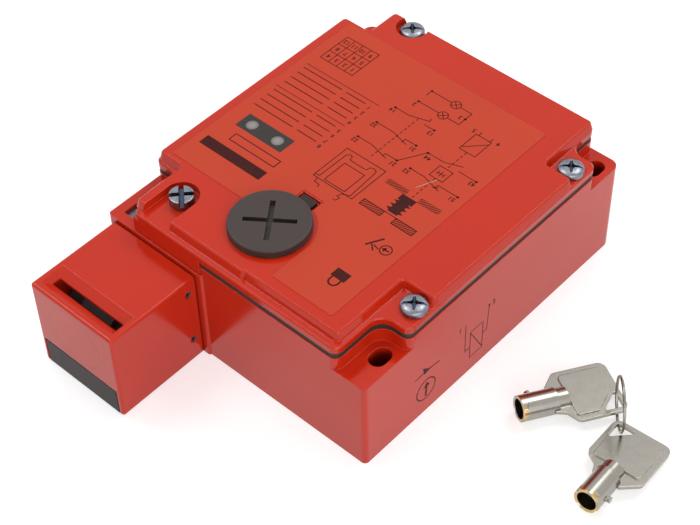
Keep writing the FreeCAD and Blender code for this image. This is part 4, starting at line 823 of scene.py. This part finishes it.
def draw_contacts(ink, w):
    """The switch's own circuit: five contacts, the lamps, the coil, and the links between them."""
    ink.strokes(
        w, [(8.8, -19.7), (3.6, -19.7), (-2.8, -21.7), (-2.4, -22.9)], [(-2.4, -19.6), (-6.2, -19.6)],
        [(8.8, -11.3), (2.5, -11.3), (-3.9, -9.7)], [(-2.3, -9.6), (-2.3, -11.3), (-6.4, -11.3)],
        [(8.9, -3.2), (3.5, -3.2), (-3.2, -1.6)],
        [(-1.9, -1.6), (-1.9, -3.0), (-6.2, -3.0), (-10.9, -11.2), (-16.9, -11.3), (-22.5, -13.4)],
        [(-22.3, -11.1), (-28.9, -11.1)], [(-11.2, -3.1), (-16.4, -3.1), (-23.1, -1.3)],
        [(-21.6, -1.4), (-21.6, -3.0), (-28.8, -3.0)], [(-22.4, -2.3), (-20.9, -1.3)],
        [(5.3, -32.2), (-2.4, -32.2)], [(5.4, -26.2), (-2.4, -26.2)],
        [(-5.6, -32.2), (-10.0, -32.2), (-10.0, -26.2), (-5.6, -26.2)],
        [(-16.6, -19.6), (-22.0, -25.2)], [(-17.4, -26.4), (-17.2, -28.0)],
        [(-21.4, -26.4), (-21.5, -28.0)], [(-18.2, -7.8), (-18.2, -6.2)],
        [(-19.3, -8.2), (-19.3, -5.8)], [(-20.4, -7.8), (-20.4, -6.2)], [(-18.2, -7.0), (-20.4, -7.0)])
    for at in ((8.8, -19.7), (-6.2, -19.6), (8.8, -11.3), (-6.4, -11.3), (8.9, -3.2), (-6.2, -3.0),
               (-10.9, -11.2), (-28.9, -11.1), (-11.2, -3.1), (-28.8, -3.0), (5.3, -32.2),
               (5.4, -26.2), (-10.0, -29.2)):
        ink.dot(at, w * 1.7)
    for y in (-32.2, -26.2):
        ink.ring((-4.0, y), 1.6, w)
        ink.strokes(w, [(-5.1, y - 1.1), (-2.9, y + 1.1)], [(-5.1, y + 1.1), (-2.9, y - 1.1)])
    ink.box(-22.1, -26.4, -16.4, -18.7, w)
    ink.box(-21.7, -9.5, -16.9, -4.7, w)
    for start, end in (((0.5, -20.4), (0.5, 1.5)), ((-19.2, -18.6), (-19.2, -9.6)),
                       ((-19.2, -4.6), (-19.2, 5.8))):
        ink.dashes(start, end, w)


def draw_guard(ink, w):
    """The guard's frame with its window, and the bolt between four hatched rails."""
    ink.box(-6.8, 2.5, 7.9, 17.0, w)
    ink.box(-3.3, 7.6, 4.3, 16.2, w)
    ink.strokes(
        w, [(7.9, 16.2), (6.4, 16.0), (6.2, 4.9), (5.4, 4.0), (4.3, 4.3), (4.2, 5.4), (3.4, 5.7),
            (-1.7, 5.7), (-2.3, 5.3), (-2.4, 4.3), (-3.6, 3.8), (-4.8, 4.3), (-5.0, 5.2), (-5.7, 16.4),
            (-3.6, 17.2)],
        [(6.2, 17.0), (5.9, 18.7), (4.1, 18.7), (3.7, 19.8)],
        [(-3.6, 17.0), (-2.8, 18.8), (-4.0, 19.0), (-3.6, 20.4), (-2.7, 20.4)])
    for x0, x1, y0, y1 in ((-17.0, -9.4, 3.8, 5.9), (-17.0, -9.4, 14.5, 16.8), (-29.0, -21.5, 3.9, 6.1),
                           (-28.7, -21.2, 14.5, 16.9)):
        ink.hatched(x0, x1, y0, y1, w * 1.1)
        if y0 > 10:
            ink.box(x0, y0, x1, y1, w)
    ink.stroke([(-17.0, 14.5), (-21.2, 14.5)], w)
    ink.prism([(-21.4, 6.0), (-16.3, 6.0), (-16.3, 8.4), (-17.1, 8.4), (-17.1, 13.7), (-20.6, 13.7),
               (-20.6, 8.4), (-21.4, 8.4)])
    for y in (9.2, 10.9, 12.6):
        ink.prism([(-17.1, y - 0.5), (-15.8, y), (-17.1, y + 0.5)])
        ink.prism([(-20.6, y + 0.5), (-21.9, y), (-20.6, y - 0.5)])


def draw_fields(ink, w, rule):
    """Blank fields: a plain bar, a write-on box, ruled rows, and a grid of twelve numbers."""
    ink.prism([(18.3, 25.0), (42.2, 25.0), (42.2, 28.8), (18.3, 28.8)])
    ink.box(18.6, 19.2, 36.4, 22.2, rule)
    ink.strokes(w * 0.8, [(12.8, -17.0), (42.1, -17.0)], [(14.8, -3.9), (42.5, -3.9)])
    for i, y in enumerate((-14.3, -11.5, -8.7, -5.9, -1.2, 1.6, 4.4, 7.2)):
        ink.text(str(i + 1), (14.6, y), 2.0)
        ink.strokes(rule, [(16.6, y - 0.8), (24.2, y - 0.8)], [(26.0, y - 0.8), (41.6, y - 0.8)])
    x0, y0, step_x, step_y = 28.0, -34.2, 13.0 / 4, 12.4 / 3
    for i in range(5):
        ink.stroke([(x0 + i * step_x, y0), (x0 + i * step_x, -21.8)], w)
    for i in range(4):
        ink.stroke([(x0 - 0.1, y0 + i * step_y), (41.1, y0 + i * step_y)], w)
    for i in range(12):
        ink.text(str(i + 1), (x0 + (i % 4 + 0.5) * step_x, y0 + (2.5 - i // 4) * step_y), 2.3)


def draw_release(ink, w):
    """Beside the cap: a padlock, a turning arrow, and a screwdriver."""
    ink.ring((-27.0, 25.5), 1.75, w * 1.3)
    ink.stroke([(-28.1, 25.5), (-26.4, 25.5)], w * 1.8)
    ink.prism([(-25.7, 25.5), (-26.8, 26.5), (-26.8, 24.5)])
    ink.stroke([(-21.2, 27.5), (-23.9, 22.5)], w * 2.2)
    ink.stroke([(-22.4, 26.1), (-24.3, 27.9)], w * 1.6)
    ink.stroke([(-23.1, 26.0), (-25.1, 26.6)], w * 1.4)
    ink.prism([(-26.3, 38.6), (-21.5, 38.6), (-21.5, 41.9), (-26.3, 41.9)])
    turn = np.linspace(0.0, math.pi, 12)
    arc = np.column_stack([-23.9 + 1.5 * np.cos(turn), 43.2 + 1.5 * np.sin(turn)])
    ink.stroke(np.concatenate([[(-22.4, 41.9)], arc, [(-25.4, 41.9)]]), w * 2.0)


def draw_window(ink):
    """The lamps' dark window: an upper and a lower half whose edges go round each lamp in half
    circles."""
    left, right = (x / MM for x in LENS_X)
    middle, x0, x1 = LENS_Y / MM, left - WINDOW_ENDS[0], right + WINDOW_ENDS[1]
    turn = np.linspace(math.pi, 0.0, 20)
    for side in (1, -1):
        bite = WINDOW_BITE * np.column_stack([np.cos(turn), side * np.sin(turn)])
        bites = [bite + (x, middle) for x in (left, right)]
        edge = middle + side * WINDOW_HALF
        ink.prism(np.concatenate([[(x0, middle)], *bites, [(x1, middle), (x1, edge), (x0, edge)]]))


def draw_side(ink, w):
    """On the case's side: the coil symbol with two plain numbers, and an upright arrow in a ring
    beside a slanting one."""
    ink.box(-14.5, 5.8, -8.9, 16.8, w)
    ink.strokes(w, [(-14.4, 16.4), (-9.0, 6.2)], [(-16.8, 21.9), (-16.7, 10.4), (-14.6, 10.4)],
                [(-6.4, 21.7), (-7.1, 11.9), (-8.8, 11.9)])
    ink.dot((-6.4, 21.7), w * 1.5)
    ink.text("1", (-19.2, 21.4), 2.6)
    ink.text("2", (-4.3, 21.4), 2.6)
    ink.ring((-33.7, 9.6), 3.95, w * 1.4, 48)
    ink.stroke([(-33.8, 6.6), (-33.5, 10.8)], w * 2.6)
    ink.prism([(-33.4, 12.5), (-34.8, 10.4), (-32.1, 10.6)])
    ink.stroke([(-38.5, 17.3), (-34.4, 17.6)], w * 1.4)
    ink.prism([(-35.3, 20.0), (-34.6, 16.8), (-31.9, 17.2)])
    ink.stroke([(-32.6, 17.5), (-28.0, 17.0)], w * 1.4)


# ---------------------------------------------------------------- operators: finishes
class INTERLOCK_OT_case(bpy.types.Operator):
    """Finishes the painted castings, the gasket and the seals"""
    bl_idname = "interlock.case"
    bl_label = "Case finishes"

    def execute(self, context):
        dress(["cover"], finish_paint())
        dress(["housing"], finish_paint("red_enamel_housing", thread_and_slot_shade))
        dress(["head_housing"], finish_paint("red_enamel_head", head_groove_and_joint_shade))
        rubber = np.array(palette().rubber)
        dress(["cover_gasket"], moulded("gasket_rubber", rubber, 0.62, grain=1900.0, depth=0.00005,
                                        lightened=1.6, specks=0.8, Specular_IOR_Level=0.35))
        dress(["head_seal", "cap_seal"], moulded("seal_rubber", rubber * 0.6, 0.42, grain=3200.0,
                                                 lightened=1.5, specks=0.3, Specular_IOR_Level=0.45))
        return {"FINISHED"}


class INTERLOCK_OT_caps(bpy.types.Operator):
    """Finishes the release cap, its leash and the blanking plug"""
    bl_idname = "interlock.caps"
    bl_label = "Cap and plug finishes"

    def execute(self, context):
        cap = np.array(palette().cap)
        dress(["unlock_cap"], moulded("cap_plastic", cap, 0.44, grain=2200.0, depth=0.00004, lightened=1.5,
                                      radius=0.0003, specks=0.8, cut_shade=cap_cross_shade,
                                      Specular_IOR_Level=0.4))
        dress(["slot_plug"], moulded("plug_plastic", cap * 0.6, 0.42, grain=1500.0, depth=0.00004,
                                     lightened=1.8, specks=0.8, Specular_IOR_Level=0.18))
        dress(["cap_leash"], moulded("leash_plastic", cap * np.array((0.70, 0.66, 0.60)), 0.6,
                                     grain=1100.0, depth=0.00012, lightened=1.6, specks=1.0,
                                     Specular_IOR_Level=0.25))
        return {"FINISHED"}


class INTERLOCK_OT_fasteners(bpy.types.Operator):
    """Turns the cover screws and the captive screw with their recesses and threads, and
    finishes the small steel fasteners"""
    bl_idname = "interlock.fasteners"
    bl_label = "Screws and fasteners"

    def execute(self, context):
        zinc_head = finish_screw("screw_zinc", recess_shade_by_depth)
        for name, node, turns, head, shape in (
                ("pan_screws", "cover_screws", (35, 37, 41), PAN_HEAD, (3.9, 2.7, 1.5, pan_recess)),
                ("tall_screw", "captive_screw", (47,), CHEESE_HEAD, (3.7, 6.0, 0.45, cheese_recess))):
            low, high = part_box(node)
            top, tip = high.z / MM, low.z / MM
            screws = [turned_screw(at, top, top - head, tip, *shape, math.radians(turn))
                      for at, turn in zip(screw_centres(node), turns)]
            screw_piece(name, node, screws, zinc_head)
        for node, recess in (("chassis_screws", 0.0009), ("earth_screw", 0.0010)):
            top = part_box(node)[1].z
            dress([node], finish_screw(node + "_zinc", lambda tree, top=top, recess=recess:
                                       recess_shade_by_height(tree, top, recess)))
        zinc = np.array(palette().zinc)
        for node, name, shade, rough, stretch, stain in (
                ("head_roll_pins", "roll_pin_steel", 0.75, 0.4, (200.0, 1800.0, 1800.0), 0.6),
                ("head_lock_plate", "lock_plate_zinc", 0.62, 0.4, (300.0, 1500.0, 1500.0), 0.75),
                ("terminal_screws", "terminal_zinc", 1.0, 0.33, (900.0, 900.0, 900.0), 0.75)):
            dress([node], metal(name, zinc * shade, rough, stretch, stain))
        return {"FINISHED"}


class INTERLOCK_OT_lamps(bpy.types.Operator):
    """Finishes the two lamp lenses and their circuit board"""
    bl_idname = "interlock.lamps"
    bl_label = "Lamp finishes"

    def execute(self, context):
        dress(["led_lenses"], finish_lens())
        dress(["led_board"], finish_board())
        return {"FINISHED"}


class INTERLOCK_OT_works(bpy.types.Operator):
    """Finishes the drum, plunger, contacts, lock, bolt, solenoid and chassis inside the case"""
    bl_idname = "interlock.works"
    bl_label = "Inner works finishes"

    def execute(self, context):
        brass = np.array(palette().brass)
        dress(["contact_block", "lock_contact_block", "terminal_strip"],
              moulded("block_polyester", (0.085, 0.092, 0.10), 0.5, 1300.0, 0.00005, 1.5))
        dress(["drum"], moulded("drum_nylon", (0.10, 0.10, 0.105), 0.42, 900.0, 0.00005, 1.7))
        dress(["contact_carriage", "lock_carriage", "solenoid_bobbin", "plunger_guide"],
              moulded("acetal", (0.62, 0.60, 0.53), 0.36, 2200.0, lightened=1.1, Subsurface_Weight=0.15,
                      Subsurface_Scale=0.0006))
        for nodes, name, base, rough, stretch, stain in (
                (["plunger", "drum_axle", "armature", "lock_bolt", "lock_cam"],
                 "turned_steel", (0.50, 0.50, 0.52), 0.26, (2600.0, 160.0, 2600.0), 0.8),
                (["plunger_spring", "armature_spring"],
                 "spring_wire", (0.42, 0.43, 0.45), 0.34, (900.0, 900.0, 900.0), 0.7),
                (["contact_bridges", "fixed_contacts", "lock_bridges"],
                 "silvered_copper", (0.72, 0.66, 0.55), 0.28, (300.0, 2400.0, 2400.0), 0.6),
                (["bolt_strip", "solenoid_yoke", "chassis_plate"],
                 "yellow_zinc", (0.60, 0.55, 0.40), 0.34, (140.0, 2600.0, 2600.0), 0.72),
                (["lock_body", "lock_nut"], "lock_brass", brass, 0.32, (1500.0, 1500.0, 260.0), 0.7),
                (["lock_barrel"], "barrel_brass", brass * 1.1, 0.24, (2200.0, 2200.0, 300.0), 0.85)):
            dress(nodes, metal(name, base, rough, stretch, stain))
        dress(["solenoid_coil"], finish_winding(*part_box("solenoid_coil")))
        return {"FINISHED"}


class INTERLOCK_OT_spring(bpy.types.Operator):
    """Winds the armature's spring at one length, riding on the housing; in the switch the bolt's travel
    squeezes it
    """
    bl_idname = "interlock.spring"
    bl_label = "Armature spring"

    def execute(self, context):
        low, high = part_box("armature_spring")
        wire = SPRING_WIRE / 2
        start = (low.x + wire, (low.y + high.y) / 2, (low.z + high.z) / 2)
        points, faces = coil_spring(start, np.array((1.0, 0, 0)), np.array((0, 0, -1.0)),
                                    high.x - low.x - 2 * wire, (high.y - low.y) / 2 - wire, wire)
        piece = new_piece("armature_coil", points, faces, bpy.data.materials["spring_wire"])
        piece.data.shade_smooth()
        settle(piece, "armature_spring")
        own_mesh(piece)
        return {"FINISHED"}


class INTERLOCK_OT_keys(bpy.types.Operator):
    """Finishes the two tubular keys and the wire ring"""
    bl_idname = "interlock.keys"
    bl_label = "Key finishes"

    def execute(self, context):
        for key in ("key_1", "key_2"):
            tube, bow = (sum(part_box(key + part), Vector()) / 2 for part in ("_tube", "_bow"))
            heading = (bow - tube).normalized()
            dress([key + "_tube", key + "_bow"],
                  finish_key(key + "_nickel", tube - heading * KEY_TUBE_L / 2, heading))
        dress(["key_ring"], metal("ring_nickel", palette().nickel, 0.24, (1200.0, 1200.0, 400.0), 0.7))
        return {"FINISHED"}


# ---------------------------------------------------------------- operators: printing
class INTERLOCK_OT_label(bpy.types.Operator):
    """Finishes the film and prints its diagram, blank fields, numbers and lamp window"""
    bl_idname = "interlock.label"
    bl_label = "Label printing"

    def execute(self, context):
        dress(["label_sheet"], finish_film())
        values = sizes()
        w, rule = values.line / MM, values.rule / MM
        dark_ink = finish_ink()
        black = moulded("window_black", (0.030, 0.023, 0.021), 0.42, grain=1500.0, lightened=1.3,
                        specks=0.7, Specular_IOR_Level=0.3)
        for name, draw, more, finish in (
                ("print_circuit", draw_contacts, (w,), dark_ink),
                ("print_guard", draw_guard, (w,), dark_ink),
                ("print_fields", draw_fields, (w, rule), dark_ink),
                ("print_release", draw_release, (w,), dark_ink),
                ("print_numbers", draw_numbers, (values.numeral / MM,), dark_ink),
                ("print_lamp_window", draw_window, (), black)):
            ink = Print(values.ink_height)
            draw(ink, *more)
            ink.make(name, finish)
        scratch = Print(values.ink_height)
        scratch.stroke(SCRATCH, SCRATCH_W)
        cream = moulded("scratched_film", (0.62, 0.42, 0.28), 0.6, grain=1500.0, lightened=1.0)
        scratch.make("print_scratch", cream, (0.0, 0.0, LABEL_TOP + values.ink_height))
        return {"FINISHED"}


class INTERLOCK_OT_side_print(bpy.types.Operator):
    """Prints the coil symbol, two plain numbers and a ringed arrow on the side of the case"""
    bl_idname = "interlock.side_print"
    bl_label = "Side printing"

    def execute(self, context):
        ink = Print(sizes().ink_height)
        draw_side(ink, sizes().line / MM * 1.1)
        ink.make("print_side_coil", bpy.data.materials["label_ink"],
                 (CASE_LOW.x, 0.0, 0.0), (0, -1, 0), (0, 0, 1))
        return {"FINISHED"}


# ---------------------------------------------------------------- studio
EYE = Vector((-0.23764, 0.26493, 0.38739))
AZIMUTH, ELEVATION, ROLL = 3.8939978, 0.8288764, -0.0253147
LENS_MM, SENSOR_MM = 88.4, 36.0
AIM = Vector((0.0, 0.015, 0.02))        # middle of the case, which the lamps face
SOFT_BOXES = (("soft_box_side", (-0.56, 0.34, 0.30), (0.6, 0.5), "key"),
              ("soft_box_right", (0.41, 0.10, 0.79), (0.34, 0.34), "top"),
              ("soft_box_far", (-0.08, -0.44, 0.78), (0.34, 0.34), "top"))
FLOOR_GLOW = 0.56
FLOOR_Z = -0.00002                      # a hair under the case's back
FLOOR_R = 6.0
WHITE = (1.0, 1.0, 1.0, 1.0)


def soft_box(name, at, size, power):
    """Rectangular lamp that faces the middle of the case."""
    lamp = bpy.data.lights.new(name, "AREA")
    lamp.shape = "RECTANGLE"
    lamp.size, lamp.size_y = size
    lamp.energy = power
    holder = bpy.data.objects.new(name, lamp)
    bpy.context.scene.collection.objects.link(holder)
    holder.location = at
    holder.rotation_euler = (AIM - Vector(at)).to_track_quat("-Z", "Y").to_euler()


def seen_directly(tree):
    """1 for what the camera sees, straight or in metal and glass, and 0 for light on the object."""
    path = add(tree, "ShaderNodeLightPath").outputs
    return higher(path["Is Camera Ray"], higher(path["Is Glossy Ray"], path["Is Transmission Ray"]))


def studio_floor(tone, rings=12, spokes=96):
    """Pale floor: a wide flat disc, with rings whose radius grows by an even ratio. It shows
    white to the camera far from the object and keeps the object's shadow near it."""
    radius = np.geomspace(0.05, FLOOR_R, rings)
    flat = (radius[:, None, None] * around_ring(spokes)).reshape(-1, 2)
    points = np.column_stack([np.concatenate([[(0, 0)], flat]), np.full(1 + rings * spokes, FLOOR_Z)])
    faces = fan(0, 1, spokes).tolist() + band(1, rings, spokes).tolist()
    made = new_finish("floor_paper", Specular_IOR_Level=0.1, Emission_Color=WHITE)
    material, tree, shader = made
    soft = noise(place(tree), 300.0)
    feed({shader.inputs["Base Color"]: mix(soft, rgba(np.array(tone) * 0.985), rgba(tone)),
          shader.inputs["Roughness"]: ramp(soft, 0.3, 0.7, 0.85, 0.95),
          shader.inputs["Emission Strength"]: times(seen_directly(tree), FLOOR_GLOW)})
    new_piece("studio_floor", points, faces, material)


def room_light(strength):
    """Even light on the object, and plain white to the camera, straight or in metal and glass."""
    world = bpy.data.worlds.new("room")
    bpy.context.scene.world = world
    world.use_nodes = True
    tree = world.node_tree
    room, seen = tree.nodes["Background"], seen_directly(tree)
    white = joined(seen, "ShaderNodeBackground", {"Color": WHITE, "Strength": 1.0})[0]
    either = joined(seen, "ShaderNodeMixShader", {0: seen, 1: room.outputs[0], 2: white})[0]
    feed({room.inputs["Color"]: WHITE, room.inputs["Strength"]: strength,
          tree.nodes["World Output"].inputs["Surface"]: either})


def new_camera():
    """Camera at the eye, turned by its azimuth, elevation and roll."""
    lens = bpy.data.cameras.new("camera")
    lens.lens, lens.sensor_width = LENS_MM, SENSOR_MM
    lens.clip_start, lens.clip_end = 0.01, 20.0
    camera = bpy.data.objects.new("camera", lens)
    bpy.context.scene.collection.objects.link(camera)
    ahead = Vector((-math.sin(AZIMUTH) * math.cos(ELEVATION),
                    math.cos(AZIMUTH) * math.cos(ELEVATION), -math.sin(ELEVATION)))
    right = Vector((math.cos(AZIMUTH), math.sin(AZIMUTH), 0.0))
    top = right.cross(ahead)
    rolled = (right * math.cos(ROLL) + top * math.sin(ROLL),
              top * math.cos(ROLL) - right * math.sin(ROLL), -ahead)
    camera.matrix_world = Matrix.Translation(EYE) @ Matrix(rolled).transposed().to_4x4()
    return camera


class INTERLOCK_OT_studio(bpy.types.Operator):
    """Builds the pale floor, the soft lamps, the room's light and the camera"""
    bl_idname = "interlock.studio"
    bl_label = "Studio"

    def execute(self, context):
        scene = context.scene
        values = scene.interlock_studio
        studio_floor(values.floor)
        for name, at, size, power in SOFT_BOXES:
            soft_box(name, at, size, getattr(values, power))
        room_light(values.sky)
        scene.camera = new_camera()
        scene.view_settings.view_transform = "Standard"
        return {"FINISHED"}


# ---------------------------------------------------------------- panel and main
OPERATORS = (INTERLOCK_OT_case, INTERLOCK_OT_caps, INTERLOCK_OT_fasteners, INTERLOCK_OT_lamps,
             INTERLOCK_OT_works, INTERLOCK_OT_spring, INTERLOCK_OT_keys, INTERLOCK_OT_label,
             INTERLOCK_OT_side_print, INTERLOCK_OT_studio)


class INTERLOCK_PT_looks(bpy.types.Panel):
    """Colours, sizes and builders of the tongue interlock switch"""
    bl_idname = "INTERLOCK_PT_looks"
    bl_label = "Tongue interlock switch"
    bl_space_type = "VIEW_3D"
    bl_region_type = "UI"
    bl_category = "Interlock"

    def draw(self, context):
        for key in GROUPS:
            group = getattr(context.scene, key)
            box = self.layout.box()
            for name in group.bl_rna.properties.keys():
                if name not in ("rna_type", "name"):
                    box.prop(group, name)
        for operator in OPERATORS:
            self.layout.operator(operator.bl_idname)


GROUPS = {"interlock_colours": InterlockColours, "interlock_sizes": InterlockSizes,
          "interlock_studio": InterlockStudio}
CLASSES = (*GROUPS.values(), *OPERATORS, INTERLOCK_PT_looks)


def register():
    for kind in CLASSES:
        bpy.utils.register_class(kind)
    for name, kind in GROUPS.items():
        setattr(bpy.types.Scene, name, bpy.props.PointerProperty(type=kind))


def unregister():
    for name in GROUPS:
        delattr(bpy.types.Scene, name)
    for kind in reversed(CLASSES):
        bpy.utils.unregister_class(kind)


def main():
    register()
    for operator in OPERATORS:
        group, name = operator.bl_idname.split(".")
        getattr(getattr(bpy.ops, group), name)()


if __name__ == "__main__":
    main()
